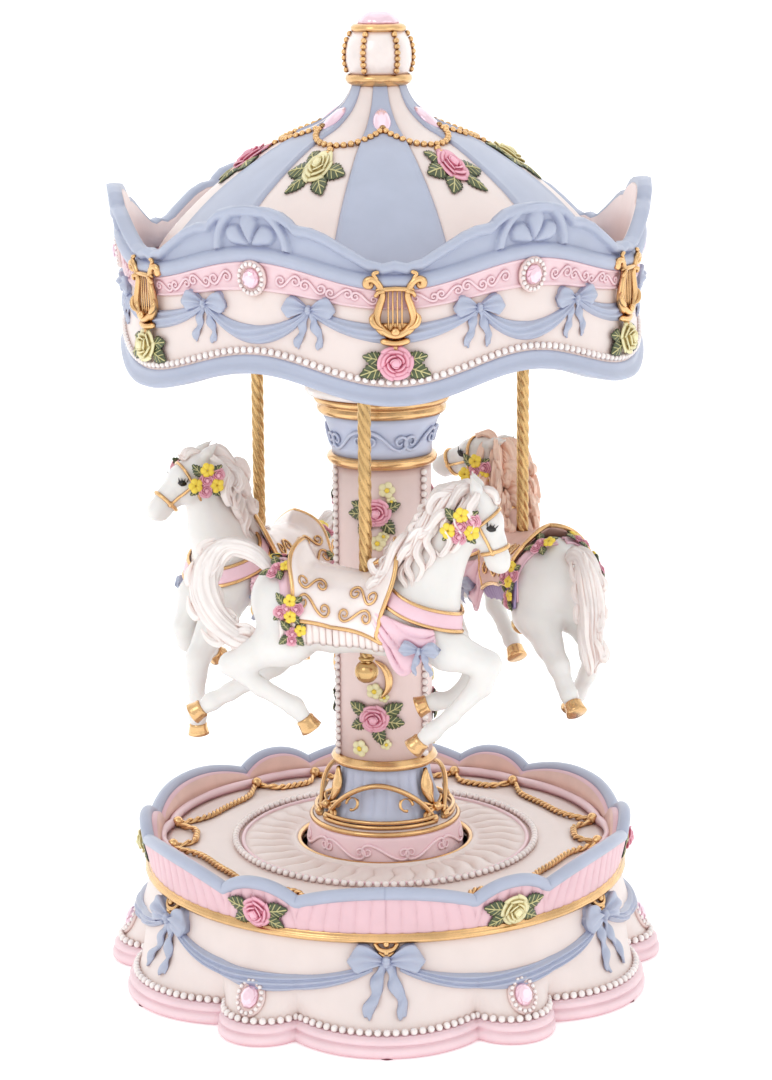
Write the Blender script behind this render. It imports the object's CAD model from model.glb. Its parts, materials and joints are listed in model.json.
import json
import math
import random

import bmesh
import bpy
import numpy as np
from mathutils import Matrix, Vector


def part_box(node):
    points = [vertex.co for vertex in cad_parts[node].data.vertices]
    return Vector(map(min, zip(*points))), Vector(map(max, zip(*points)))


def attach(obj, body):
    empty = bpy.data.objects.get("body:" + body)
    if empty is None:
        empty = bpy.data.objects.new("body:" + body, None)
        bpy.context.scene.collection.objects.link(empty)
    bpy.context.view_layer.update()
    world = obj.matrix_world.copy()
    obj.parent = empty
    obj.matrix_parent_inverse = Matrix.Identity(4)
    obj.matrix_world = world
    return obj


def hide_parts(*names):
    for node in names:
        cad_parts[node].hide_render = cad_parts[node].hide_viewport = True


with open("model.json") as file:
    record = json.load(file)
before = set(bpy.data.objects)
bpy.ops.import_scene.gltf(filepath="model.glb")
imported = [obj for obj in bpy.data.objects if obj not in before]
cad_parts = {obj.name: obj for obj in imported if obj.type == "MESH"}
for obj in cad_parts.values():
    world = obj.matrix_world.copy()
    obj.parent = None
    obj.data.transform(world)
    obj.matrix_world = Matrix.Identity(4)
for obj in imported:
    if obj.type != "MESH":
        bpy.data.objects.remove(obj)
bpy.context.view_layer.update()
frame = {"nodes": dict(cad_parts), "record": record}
mm = 0.001
canopyTwist = 2.8  # the canopy's corners stand this many degrees round from the front
panelTurn = -6.0  # and the column's panels and poles this many
poleCircle = 47.5  # the poles stand this far from the middle
print("frame loaded")


# mesh helpers; shapes are worked out in millimetres and azimuths run in degrees from the front towards +X
def newBag():
    return {"verts": [], "faces": [], "count": 0}


def newBags(*keys):
    return {key: newBag() for key in keys}


def addTo(bag, verts, faces):
    verts = np.asarray(verts, float).reshape(-1, 3)
    bag["verts"].append(verts)
    bag["faces"].extend([tuple(int(i) + bag["count"] for i in f) for f in faces])
    bag["count"] += len(verts)


def makePiece(name, bag, body, finish, replaced=(), smooth=True):
    mesh = bpy.data.meshes.new(name)
    mesh.from_pydata((np.concatenate(bag["verts"]) * mm).tolist(), [], bag["faces"])
    work = bmesh.new()
    work.from_mesh(mesh)
    bmesh.ops.recalc_face_normals(work, faces=work.faces)
    work.to_mesh(mesh)
    work.free()
    mesh.polygons.foreach_set("use_smooth", [smooth] * len(mesh.polygons))
    piece = bpy.data.objects.new(name, mesh)
    bpy.context.scene.collection.objects.link(piece)
    mesh.materials.append(finishes[finish])
    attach(piece, body)
    if replaced:
        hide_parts(*replaced)


def gridFaces(rows, cols, closeRows=False, closeCols=False):
    faces = []
    for i in range(rows if closeRows else rows - 1):
        for j in range(cols if closeCols else cols - 1):
            a, b = i * cols + j, i * cols + (j + 1) % cols
            c, d = ((i + 1) % rows) * cols + (j + 1) % cols, ((i + 1) % rows) * cols + j
            faces.append((a, b, c, d))
    return faces


def polar(azimuth, radius, height):
    turn = np.radians(np.asarray(azimuth, float))
    radius, height = np.asarray(radius, float), np.asarray(height, float)
    return np.stack(np.broadcast_arrays(radius * np.sin(turn), -radius * np.cos(turn), height), -1)


def roundAngles(steps):
    return np.arange(steps) * 360.0 / steps


def ringBag(rows):
    # rings of points, one after another, closed both ways
    bag = newBag()
    addTo(bag, np.concatenate(rows), gridFaces(len(rows), len(rows[0]), True, True))
    return bag


def turnedPart(profile, steps=160, shape=None):
    # a closed outline of (radius, height) turned about the column's axis; shape may change the radius
    angles = roundAngles(steps)
    rows = []
    for radius, height in profile:
        r = np.full(steps, float(radius))
        if shape:
            r = shape(angles, r, height)
        rows.append(polar(angles, r, np.full(steps, height)))
    return np.concatenate(rows), gridFaces(len(profile), steps, True, True)


def turnedBag(steps, *profiles):
    bag = newBag()
    for profile in profiles:
        addTo(bag, *turnedPart(profile, steps))
    return bag


def roundOut(points, steps=4):
    # Catmull-Rom through an open list of points
    points = [np.asarray(p, float) for p in points]
    padded = [2 * points[0] - points[1]] + points + [2 * points[-1] - points[-2]]
    out = []
    for a, b, c, d in zip(padded, padded[1:], padded[2:], padded[3:]):
        for k in range(steps):
            t = k / steps
            out.append(0.5 * (2 * b + (c - a) * t + (2 * a - 5 * b + 4 * c - d) * t ** 2
                              + (3 * b - a - 3 * c + d) * t ** 3))
    return out + [points[-1]]


def tube(path, radius, sides=10, flat=1.0, closed=False, ends=True, side=(0, 1, 0)):
    # a round or flattened bar along a path, with rounded ends; flat squeezes it along its second direction
    path = np.asarray(path, float)
    count = len(path)
    radius = np.broadcast_to(np.asarray(radius, float), (count,)).copy()
    if closed:
        along = np.roll(path, -1, 0) - np.roll(path, 1, 0)
    else:
        along = np.gradient(path, axis=0)
        if ends:
            first, last = along[0] / np.linalg.norm(along[0]), along[-1] / np.linalg.norm(along[-1])
            path = np.vstack([[path[0] - first * radius[0] * out for out in (0.98, 0.7)], path,
                              [path[-1] + last * radius[-1] * out for out in (0.7, 0.98)]])
            radius = np.concatenate([[radius[0] * 0.15, radius[0] * 0.72], radius,
                                     [radius[-1] * 0.72, radius[-1] * 0.15]])
            along = np.vstack([along[:1], along[:1], along, along[-1:], along[-1:]])
    along /= np.maximum(np.linalg.norm(along, axis=1, keepdims=True), 1e-9)
    guide = np.array(side, float)
    if abs(along[0] @ guide) > 0.9:
        guide = np.array((1.0, 0.0, 0.0))
    across = np.empty_like(along)
    last = guide
    for i, tangent in enumerate(along):
        last = last - tangent * (last @ tangent)
        last = last / max(np.linalg.norm(last), 1e-9)
        across[i] = last
    other = np.cross(along, across)
    turns = np.arange(sides) * 2 * math.pi / sides
    ring = (across[:, None] * np.cos(turns)[None, :, None] * flat + other[:, None] * np.sin(turns)[None, :, None])
    verts = path[:, None] + ring * radius[:, None, None]
    faces = gridFaces(len(path), sides, closed, True)
    if not closed:
        faces += [tuple(range(sides)), tuple(range((len(path) - 1) * sides, len(path) * sides))[::-1]]
    return verts.reshape(-1, 3), faces


def unitBall(around=12, up=8):
    verts, faces = [(0, 0, -1)], []
    for j in range(1, up):
        lat = -math.pi / 2 + math.pi * j / up
        verts += [(math.cos(lat) * math.cos(2 * math.pi * i / around),
                   math.cos(lat) * math.sin(2 * math.pi * i / around), math.sin(lat)) for i in range(around)]
    verts.append((0, 0, 1))
    for i in range(around):
        n = (i + 1) % around
        faces.append((0, 1 + n, 1 + i))
        top = 1 + (up - 2) * around
        faces.append((len(verts) - 1, top + i, top + n))
        for j in range(up - 2):
            a, b = 1 + j * around, 1 + (j + 1) * around
            faces.append((a + i, a + n, b + n, b + i))
    return np.array(verts), faces


pearlVerts, pearlFaces = unitBall(12, 8)
fineVerts, fineFaces = unitBall(28, 18)


def addBalls(bag, centres, radius):
    radii = np.broadcast_to(np.asarray(radius, float), (len(centres),))
    for centre, size in zip(centres, radii):
        addTo(bag, pearlVerts * size + centre, pearlFaces)


def twoSided(front, behind):
    # the closed shell between two grids of points of shape (rows, cols, 3)
    rows, cols = front.shape[:2]
    verts = np.concatenate([front.reshape(-1, 3), behind.reshape(-1, 3)])
    half, faces = rows * cols, gridFaces(rows, cols)
    faces += [tuple(i + half for i in reversed(f)) for f in faces]
    rim = ([j for j in range(cols)] + [i * cols + cols - 1 for i in range(1, rows)]
           + [(rows - 1) * cols + j for j in range(cols - 2, -1, -1)] + [i * cols for i in range(rows - 2, 0, -1)])
    faces += [(a, a + half, b + half, b) for a, b in zip(rim, rim[1:] + rim[:1])]
    return verts, faces


def thickSheet(points, thickness):
    du, dv = np.gradient(points, axis=0), np.gradient(points, axis=1)
    normal = np.cross(du, dv)
    normal /= np.maximum(np.linalg.norm(normal, axis=2, keepdims=True), 1e-9)
    return twoSided(points + normal * thickness / 2, points - normal * thickness / 2)


def evenly(path, pitch, closed=True):
    # points spaced by about one pitch along a dense path
    path = np.asarray(path, float)
    if closed:
        path = np.vstack([path, path[:1]])
    run = np.concatenate([[0], np.cumsum(np.linalg.norm(np.diff(path, axis=0), axis=1))])
    count = max(2, round(run[-1] / pitch))
    marks = np.linspace(0, run[-1], count + (0 if closed else 1), endpoint=not closed)
    return np.stack([np.interp(marks, run, path[:, k]) for k in range(3)], -1)


# ornaments are drawn flat, x to the right, y out of the wall and z up, then laid on a surface
def layOn(surface, verts, azimuth, height, turn=0.0, lift=0.0):
    v = np.asarray(verts, float).reshape(-1, 3)
    c, s = math.cos(math.radians(turn)), math.sin(math.radians(turn))
    x, z = v[:, 0] * c - v[:, 2] * s, v[:, 0] * s + v[:, 2] * c
    base = surface(np.array([azimuth]), np.array([height]))[0]
    az, h = azimuth + np.degrees(x / np.hypot(base[0], base[1])), height + z
    here = surface(az, h)
    return here + outwardNormals(surface, az, h, here) * (v[:, 1:2] + lift)


def outwardNormals(surface, azimuths, heights, here):
    step = 0.25
    normal = np.cross(surface(azimuths + step, heights) - here, surface(azimuths, heights + step) - here)
    return normal / np.linalg.norm(normal, axis=1, keepdims=True)


def bandOn(surface, azimuths, low, high, lift, cols, back=0.6):
    # a moulding laid along a surface between two height lines; lift(across, along) gives its relief
    azimuths = np.asarray(azimuths, float)
    rows = len(azimuths)
    across = np.linspace(0, 1, cols)
    along = np.linspace(0, 1, rows)
    az = np.repeat(azimuths[:, None], cols, 1)
    a, b = low(azimuths)[:, None], high(azimuths)[:, None]
    h = a + (b - a) * across[None, :]
    here = surface(az.ravel(), h.ravel())
    normal = outwardNormals(surface, az.ravel(), h.ravel(), here)
    rise = lift(np.repeat(across[None, :], rows, 0), np.repeat(along[:, None], cols, 1)).ravel()
    front = (here + normal * rise[:, None]).reshape(rows, cols, 3)
    behind = (here - normal * back).reshape(rows, cols, 3)
    verts = np.concatenate([front, behind[:, ::-1]], 1)
    last = (rows - 1) * cols * 2
    ends = [tuple(range(cols * 2)), tuple(range(last, last + cols * 2))[::-1]]
    return verts.reshape(-1, 3), gridFaces(rows, cols * 2, False, True) + ends


# finishes
def addNode(tree, kind, inputs, **settings):
    node = tree.nodes.new("ShaderNode" + kind)
    for key, value in settings.items():
        setattr(node, key, value)
    for key, value in inputs.items():
        node.inputs[key].default_value = value
    return node


def paintFinish(name, colour, shade, roughness=0.42, grain=60.0, bump=0.06, coat=0.15, scatter=0.12, reach=2.2,
                metal=0.0, patch=0.10, coatRough=0.2):
    # brushed-on colour: a darker wash settles in the hollows, with faint patches and a fine skin
    material = bpy.data.materials.new(name)
    material.use_nodes = True
    tree = material.node_tree
    shader = tree.nodes["Principled BSDF"]
    fixed = {"Roughness": roughness, "Metallic": metal, "Coat Weight": coat, "Coat Roughness": coatRough}
    if scatter:
        fixed.update({"Subsurface Weight": scatter, "Subsurface Radius": (1.0, 0.7, 0.55),
                      "Subsurface Scale": 1.2 * mm})
    for key, value in fixed.items():
        shader.inputs[key].default_value = value
    place = tree.nodes.new("ShaderNodeTexCoord")
    hollow = addNode(tree, "AmbientOcclusion", {"Distance": reach * mm}, samples=6)
    ramp = addNode(tree, "MapRange", {"From Min": 0.35, "From Max": 0.95})
    wash = addNode(tree, "Mix", {"A": (*shade, 1), "B": (*colour, 1)}, data_type="RGBA")
    cloud = addNode(tree, "TexNoise", {"Scale": grain * 2, "Detail": 4})
    tone = addNode(tree, "MapRange", {"From Min": 0.3, "From Max": 0.7, "To Min": 1 - patch, "To Max": 1 + patch * 0.4})
    shaded = addNode(tree, "Mix", {"Factor": 1}, data_type="RGBA", blend_type="MULTIPLY")
    skin = addNode(tree, "TexNoise", {"Scale": grain * 14, "Detail": 3})
    relief = addNode(tree, "Bump", {"Strength": bump, "Distance": 0.3 * mm})
    for source, output, target, socket in (
            (hollow, "AO", ramp, "Value"), (ramp, "Result", wash, "Factor"), (place, "Object", cloud, "Vector"),
            (cloud, "Fac", tone, "Value"), (wash, "Result", shaded, "A"), (tone, "Result", shaded, "B"),
            (shaded, "Result", shader, "Base Color"), (place, "Object", skin, "Vector"),
            (skin, "Fac", relief, "Height"), (relief, "Normal", shader, "Normal")):
        tree.links.new(source.outputs[output], target.inputs[socket])
    return material


finishes = {
    "cream": paintFinish("creamPaint", (0.80, 0.70, 0.67), (0.70, 0.53, 0.47), patch=0.03),
    "blue": paintFinish("bluePaint", (0.43, 0.47, 0.59), (0.35, 0.38, 0.54), patch=0.05),
    "pink": paintFinish("pinkPaint", (0.86, 0.65, 0.69), (0.72, 0.42, 0.47), patch=0.05),
    "rosy": paintFinish("rosyWallPaint", (0.78, 0.52, 0.57), (0.62, 0.34, 0.40), patch=0.05),
    "bellBlue": paintFinish("bellBluePaint", (0.58, 0.63, 0.79), (0.42, 0.46, 0.62), patch=0.05),
    "drumPink": paintFinish("drumPinkPaint", (0.95, 0.72, 0.76), (0.82, 0.52, 0.57), patch=0.05),
    "peach": paintFinish("peachPaint", (0.80, 0.53, 0.46), (0.55, 0.32, 0.26)),
    "blush": paintFinish("blushPaint", (0.86, 0.69, 0.66), (0.66, 0.45, 0.42), patch=0.04),
    "gold": paintFinish("goldLeaf", (0.84, 0.53, 0.25), (0.36, 0.16, 0.05), roughness=0.24, bump=0.16, coat=0.25,
                        scatter=0, metal=1.0, reach=1.4, patch=0.22),
    "brass": paintFinish("twistedBrass", (0.66, 0.43, 0.19), (0.20, 0.08, 0.02), roughness=0.24, bump=0.08, coat=0,
                         scatter=0, metal=1.0, reach=1.2, patch=0.2),
    "pearl": paintFinish("pearlGlaze", (0.90, 0.84, 0.82), (0.60, 0.45, 0.43), roughness=0.22, bump=0.02, coat=0.6,
                         metal=0.12, reach=1.1),
    "nacre": paintFinish("nacreGlaze", (0.93, 0.84, 0.81), (0.72, 0.50, 0.45), roughness=0.26, bump=0.05, coat=0.6,
                         metal=0.15, reach=1.6),
    "white": paintFinish("whiteResin", (0.80, 0.785, 0.765), (0.70, 0.62, 0.58), roughness=0.34, bump=0.03, coat=0.3,
                         scatter=0.3, patch=0.04),
    "mane": paintFinish("manePaint", (0.94, 0.87, 0.84), (0.88, 0.70, 0.65), roughness=0.3, coat=0.4, reach=1.6),
    "peachMane": paintFinish("peachManePaint", (0.96, 0.70, 0.57), (0.90, 0.55, 0.42), roughness=0.34, reach=1.6),
    "leaf": paintFinish("leafPaint", (0.075, 0.10, 0.04), (0.015, 0.02, 0.008), roughness=0.36, scatter=0, patch=0.3),
    "vein": paintFinish("veinPaint", (0.62, 0.58, 0.27), (0.24, 0.22, 0.08), roughness=0.4, scatter=0),
    "rosePink": paintFinish("rosePinkPaint", (0.90, 0.48, 0.58), (0.70, 0.20, 0.30), reach=1.2),
    "roseYellow": paintFinish("roseCreamPaint", (0.88, 0.82, 0.50), (0.60, 0.48, 0.20), reach=1.2),
    "sunYellow": paintFinish("sunYellowPaint", (0.93, 0.70, 0.07), (0.62, 0.34, 0.02), reach=1.0),
    "palePink": paintFinish("palePinkPaint", (0.88, 0.60, 0.68), (0.66, 0.33, 0.42), reach=1.0),
    "violet": paintFinish("violetPaint", (0.42, 0.33, 0.55), (0.2, 0.13, 0.3)),
    "black": paintFinish("eyePaint", (0.015, 0.012, 0.012), (0.005, 0.004, 0.004), roughness=0.2, scatter=0),
    "steel": paintFinish("turnedSteel", (0.55, 0.55, 0.56), (0.2, 0.2, 0.2), roughness=0.3, metal=1.0, scatter=0),
    "felt": paintFinish("feltCloth", (0.25, 0.06, 0.09), (0.1, 0.02, 0.03), roughness=0.95, grain=220, bump=0.6,
                        coat=0, scatter=0),
    "board": paintFinish("boardCover", (0.10, 0.09, 0.09), (0.03, 0.03, 0.03), roughness=0.7, grain=90, bump=0.3,
                         coat=0, scatter=0),
    "fan": paintFinish("fanPlastic", (0.75, 0.74, 0.7), (0.4, 0.4, 0.38), roughness=0.5),
}


def gemFinish():
    material = paintFinish("pinkStone", (0.95, 0.70, 0.80), (0.86, 0.44, 0.60), roughness=0.06, bump=0.0, coat=0.8,
                           scatter=0, coatRough=0.03, reach=1.0)
    shader = material.node_tree.nodes["Principled BSDF"]
    shader.inputs["Metallic"].default_value = 0.45
    shader.inputs["IOR"].default_value = 1.55
    return material


finishes["gem"] = gemFinish()
for slot, names in (("cream_enamel", "cream pearl nacre blush peach violet"), ("blue_enamel", "blue bellBlue"),
                    ("pink_enamel", "pink rosy drumPink palePink"), ("gold_enamel", "gold brass vein"),
                    ("pink_stone", "gem"), ("rose_paint", "leaf rosePink roseYellow sunYellow"),
                    ("white_enamel", "white mane peachMane black")):
    dict.fromkeys(names.split(), slot)

cadFinish = {"cream_enamel": "cream", "blue_enamel": "blue", "pink_enamel": "pink", "gold_enamel": "gold",
             "rail_enamel": "blue", "white_enamel": "white", "pink_stone": "gem", "rose_paint": "rosePink",
             "felt": "felt", "cover_board": "board", "brass": "brass", "steel": "steel", "fan_plastic": "fan"}
slotOf = {part["node"]: part["material_slot"] for part in frame["record"]["subparts"]}
for nodeName, node in frame["nodes"].items():
    for held in node.material_slots:
        held.material = finishes[cadFinish[slotOf[nodeName]]]
print("finishes mixed")


# camera, floor and light
def setStage():
    studio = {"lens": 94.7, "place": (0.0, -0.8408, 0.3215), "down": 12.67, "tilt": 0.469, "yaw": -0.068,
              "world": 0.97, "key": 1.1, "fill": 0.5, "top": 0.4, "glow": 0.30}
    lens = bpy.data.cameras.new("studioCamera")
    lens.lens = studio["lens"]
    lens.sensor_width = 36
    lens.clip_start = 0.01
    camera = bpy.data.objects.new("studioCamera", lens)
    camera.rotation_mode = "XYZ"
    camera.location = studio["place"]
    turn = (Matrix.Rotation(math.radians(studio["yaw"]), 3, "Z")
            @ Matrix.Rotation(math.radians(90 - studio["down"]), 3, "X")
            @ Matrix.Rotation(math.radians(-studio["tilt"]), 3, "Z"))
    camera.rotation_euler = turn.to_euler("XYZ")
    bpy.context.scene.collection.objects.link(camera)
    bpy.context.scene.camera = camera
    world = bpy.data.worlds.new("paleRoom")
    world.use_nodes = True
    world.node_tree.nodes["Background"].inputs["Color"].default_value = (1, 1, 1, 1)
    world.node_tree.nodes["Background"].inputs["Strength"].default_value = studio["world"]
    bpy.context.scene.world = world
    bpy.context.scene.view_settings.view_transform = "Standard"
    lamps = (("keyLight", (-0.55, -0.75, 0.75), 0.5, studio["key"]),
             ("fillLight", (0.75, -0.55, 0.45), 0.6, studio["fill"]),
             ("topLight", (0.0, 0.15, 1.0), 0.7, studio["top"]))
    for name, place, size, power in lamps:
        lamp = bpy.data.lights.new(name, "AREA")
        lamp.shape, lamp.size, lamp.energy = "DISK", size, power
        light = bpy.data.objects.new(name, lamp)
        light.location = place
        aim = Vector((0, 0, 0.13)) - light.location
        light.rotation_euler = aim.to_track_quat("-Z", "Y").to_euler()
        bpy.context.scene.collection.objects.link(light)
    floor = bpy.data.meshes.new("floor")
    sweep = [(0.9 + 0.5 * math.sin(a), 0.5 - 0.5 * math.cos(a)) for a in np.linspace(0.1, 1.57, 10)]
    line = [(-3.0, 0.0), (0.9, 0.0)] + sweep + [(1.4, 3.0)]
    floor.from_pydata([(x, y, z) for y, z in line for x in (-4.0, 4.0)], [],
                      [(2 * i, 2 * i + 1, 2 * i + 3, 2 * i + 2) for i in range(len(line) - 1)])
    floor.polygons.foreach_set("use_smooth", [True] * len(floor.polygons))
    plane = bpy.data.objects.new("floor", floor)
    pale = paintFinish("paleFloor", (0.95, 0.95, 0.95), (0.93, 0.93, 0.93), roughness=0.8, scatter=0, coat=0,
                       patch=0.0, bump=0.0)
    pale.node_tree.nodes["Principled BSDF"].inputs["Emission Color"].default_value = (1, 1, 1, 1)
    pale.node_tree.nodes["Principled BSDF"].inputs["Emission Strength"].default_value = studio["glow"]
    floor.materials.append(pale)
    bpy.context.scene.collection.objects.link(plane)


setStage()
print("stage set")


# ornaments
def spinAboutY(verts, degrees):
    c, s = math.cos(math.radians(degrees)), math.sin(math.radians(degrees))
    return np.asarray(verts, float) @ np.array(((c, 0, s), (0, 1, 0), (-s, 0, c))).T


def roseHead(radius):
    # petals wrapped in rings about a bud; y is up the flower
    parts = []
    bud = fineVerts[:, [0, 2, 1]] * np.array((0.30, 0.34, 0.30)) * radius
    bud[:, 1] += 0.52 * radius
    parts.append((bud, fineFaces))
    rings = ((3, 0.26, 0.62, 0.10, 10), (4, 0.46, 0.58, 0.30, 40), (5, 0.68, 0.46, 0.62, 15), (6, 0.86, 0.24, 1.0, 50))
    for count, ring, rise, open_, start in rings:
        for k in range(count):
            u = np.linspace(-1, 1, 9)[None, :]
            v = np.linspace(0, 1, 6)[:, None]
            span = 195.0 / count
            angle = np.radians(start + k * 360.0 / count + u * span) + 0 * v
            edge = 1 - 0.35 * np.abs(u) ** 3
            r = radius * (ring * (0.55 + 0.45 * v) + open_ * 0.22 * v ** 3 + 0.05 * u)
            y = radius * (0.08 + rise * v * edge + 0.06 * v - open_ * 0.16 * v ** 4)
            grid = np.stack([r * np.cos(angle), y + 0 * angle, r * np.sin(angle)], -1)
            parts.append(thickSheet(grid, radius * 0.085))
    cup = fineVerts[:, [0, 2, 1]] * np.array((0.62, 0.30, 0.62)) * radius
    cup[:, 1] += 0.14 * radius
    parts.append((cup, fineFaces))
    return parts


def leafBlade(length, width):
    # a notched leaf from the origin along +x, arched along its rib, with raised veins
    t = np.linspace(0, 1, 15)
    notch = 1 + 0.26 * (np.arange(15) % 2 - 0.5)
    half = width / 2 * np.sin(math.pi * np.clip(t, 0.03, 0.97)) ** 0.75 * (1.25 - 0.5 * t) * notch
    v = np.linspace(-1, 1, 7)
    x = length * t[:, None] + 0.10 * length * np.abs(v)[None, :] * (notch[:, None] - 1) + 0 * v[None, :]
    z = half[:, None] * v[None, :]
    y = 0.55 + 0.55 * np.sin(math.pi * t)[:, None] - 0.5 * np.abs(v)[None, :] ** 1.5 * (half[:, None] / width) * 2.0
    blade = thickSheet(np.stack([x, y, z], -1), 0.34)

    def top(p, q):
        i = np.interp(p, t, np.arange(15))
        return np.interp(p, t, 0.55 + 0.55 * np.sin(math.pi * t)) + 0.2 - 0.5 * abs(q) ** 1.5 * half[int(i)] / width * 2

    veins = [tube([(length * p, top(p, 0), 0) for p in np.linspace(0.02, 0.95, 6)], 0.13 * width / 3, 6)]
    for start in (0.16, 0.36, 0.56):
        for side in (-1, 1):
            reach = 0.78 * np.interp(start + 0.16, t, half)
            veins.append(tube([(length * (start + 0.2 * q), top(start, q * 0.8), side * reach * q)
                               for q in (0.0, 0.5, 1.0)], 0.10 * width / 3, 5))
    return [blade], veins


def sprig(bags, surface, azimuth, height, rose, roseRadius, leaves, flower, lift=0.4):
    # a rose with its leaves on a wall; leaves is a list of (angle, length) about the rose
    for part, faces in roseHead(roseRadius):
        addTo(bags[flower], layOn(surface, spinAboutY(part, rose), azimuth, height, lift=lift), faces)
    for angle, length in leaves:
        blades, veins = leafBlade(length, length * 0.62)
        for key, items in (("leaf", blades), ("vein", veins)):
            for part, faces in items:
                moved = part + np.array((roseRadius * 0.62, 0, 0))
                addTo(bags[key], layOn(surface, moved, azimuth, height, turn=angle, lift=lift * 0.5), faces)


def makeRoses(prefix, bags, body, replaced=()):
    makePiece(f"{prefix}Leaves", bags["leaf"], body, "leaf")
    makePiece(f"{prefix}LeafVeins", bags["vein"], body, "vein")
    makePiece(f"{prefix}RosesPink", bags["pink"], body, "rosePink", replaced)
    makePiece(f"{prefix}RosesYellow", bags["yellow"], body, "roseYellow")


def bowParts(width):
    # a creased ribbon bow, its knot at the origin; width is over both loops
    reach, parts = width / 2, []
    n = 40
    for side in (-1, 1):
        u = np.linspace(0, 1, 18)[:, None]
        a = np.arange(n)[None, :] * 2 * math.pi / n
        swell = np.interp(u, [0, 0.2, 0.5, 0.8, 0.93, 1], [0.16, 0.42, 0.80, 1.0, 0.90, 0.52])
        crease = 1 + 0.13 * np.cos(6 * a + 0.5) * np.interp(u, [0, 0.3, 0.8, 1], [1.6, 1.3, 0.7, 0.2])
        tall = width * 0.205 * swell * crease
        deep = width * (0.045 + 0.085 * np.sin(np.clip(u, 0, 1) * math.pi * 0.86) ** 0.8) * crease
        x = side * reach * (0.05 + 0.95 * u - 0.09 * u ** 3 * np.abs(np.sin(a)) ** 1.5 + 0.05 * u * np.cos(2 * a))
        z = tall * np.sin(a) + reach * 0.13 * np.sin(u * 2.6) - 0.03 * width * u ** 4
        y = deep * np.cos(a) + deep * 0.6 - 0.02 * width * (u > 0.97)
        verts = np.stack([x, y + 0 * z, z], -1)
        faces = gridFaces(18, n, False, True) + [tuple(range(n)), tuple(range(17 * n, 18 * n))[::-1]]
        parts.append((verts.reshape(-1, 3), faces))
        u, v = np.linspace(0, 1, 34)[:, None], np.linspace(-1, 1, 9)[None, :]
        fall, phase = width * 0.72, 0.6 if side > 0 else 1.5
        half = width * (0.028 + 0.040 * np.sin(math.pi * np.clip(u * 0.93 + 0.07, 0, 1)) ** 0.6
                        + 0.013 * np.cos(4 * math.pi * u + phase))
        bend = side * width * (0.02 + 0.21 * u ** 0.8) + width * 0.030 * np.sin(3.4 * math.pi * u + phase) * u ** 0.5
        z = -fall * (0.03 + 0.95 * u) + width * 0.022 * v * side - width * 0.02 * np.abs(v) * (u > 0.93)
        ruffle = width * 0.024 * np.sin(5.2 * math.pi * u + phase + 1.4 * v)
        y = width * 0.060 + ruffle - width * 0.022 * v ** 2 + 0 * u
        parts.append(thickSheet(np.stack([bend + half * v, y, z], -1), width * 0.036))
    knot = fineVerts * np.array((0.062, 0.095, 0.085)) * width
    knot *= 1 + 0.08 * np.cos(7 * np.arctan2(fineVerts[:, 1], fineVerts[:, 2]))[:, None]
    knot[:, 1] += 0.085 * width
    parts.append((knot, fineFaces))
    return parts


def scrollPath(length, height, flip=1):
    # one running scroll: a curl at each end joined by a wave, in x and z
    curl = height * 0.40
    points = []
    for k in np.linspace(1, 0, 16):
        r, a = curl * (1 - 0.78 * k), math.pi * (0.5 + 2.3 * k)
        points.append((-length / 2 + curl + r * math.cos(a), flip * (r * math.sin(a) + height * 0.05)))
    for k in np.linspace(0.1, 0.9, 7):
        points.append((-length / 2 + curl + (length - 2 * curl) * k, flip * (height * 0.45) * math.cos(math.pi * k)))
    for k in np.linspace(0, 1, 16):
        r, a = curl * (1 - 0.78 * k), math.pi * (1.5 + 2.3 * k)
        points.append((length / 2 - curl + r * math.cos(a), flip * (r * math.sin(a) - height * 0.05)))
    return np.array([(x, 0.0, z) for x, z in points])


def medallionParts(radius):
    # a pearl-ringed oval setting with a cut stone: (setting, pearls, stone)
    a = np.arange(40) * 2 * math.pi / 40
    rings = []
    for r, y in ((1.0, -0.5), (1.02, 0.35), (0.94, 0.75), (0.66, 0.75), (0.60, 0.45), (0.3, 0.4), (0.02, 0.4)):
        rings.append(np.stack([radius * 0.86 * r * np.cos(a), np.full(40, y), radius * r * np.sin(a)], -1))
    setting = (np.concatenate(rings), gridFaces(7, 40, False, True) + [tuple(range(40))])
    centres = [(radius * 0.86 * 0.82 * math.cos(t), 0.85, radius * 0.82 * math.sin(t))
               for t in np.arange(17) * 2 * math.pi / 17]
    n, rows = 8, []
    for r, y, shift in ((0.56, 0.4, 0), (0.57, 0.8, 0.5), (0.46, 1.9, 0), (0.24, 2.5, 0.5)):
        t = (np.arange(n) + shift) * 2 * math.pi / n
        rows.append(np.stack([radius * 0.86 * r * np.cos(t), np.full(n, y), radius * r * np.sin(t)], -1))
    faces = [tuple(range(n)), tuple(range(3 * n, 4 * n))[::-1]]
    for j in range(3):
        for i in range(n):
            p, q, r, s = j * n + i, j * n + (i + 1) % n, (j + 1) * n + i, (j + 1) * n + (i + 1) % n
            faces += [(p, q, r), (q, s, r)]
    return setting, centres, (np.concatenate(rows), faces)


def addMedallion(bags, surface, azimuth, height, radius, lift=0.2):
    setting, pearls, stone = medallionParts(radius)
    addTo(bags["setting"], layOn(surface, setting[0], azimuth, height, lift=lift), setting[1])
    addBalls(bags["pearl"], layOn(surface, pearls, azimuth, height, lift=lift), radius * 0.135)
    addTo(bags["gem"], layOn(surface, stone[0], azimuth, height, lift=lift), stone[1])


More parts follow.
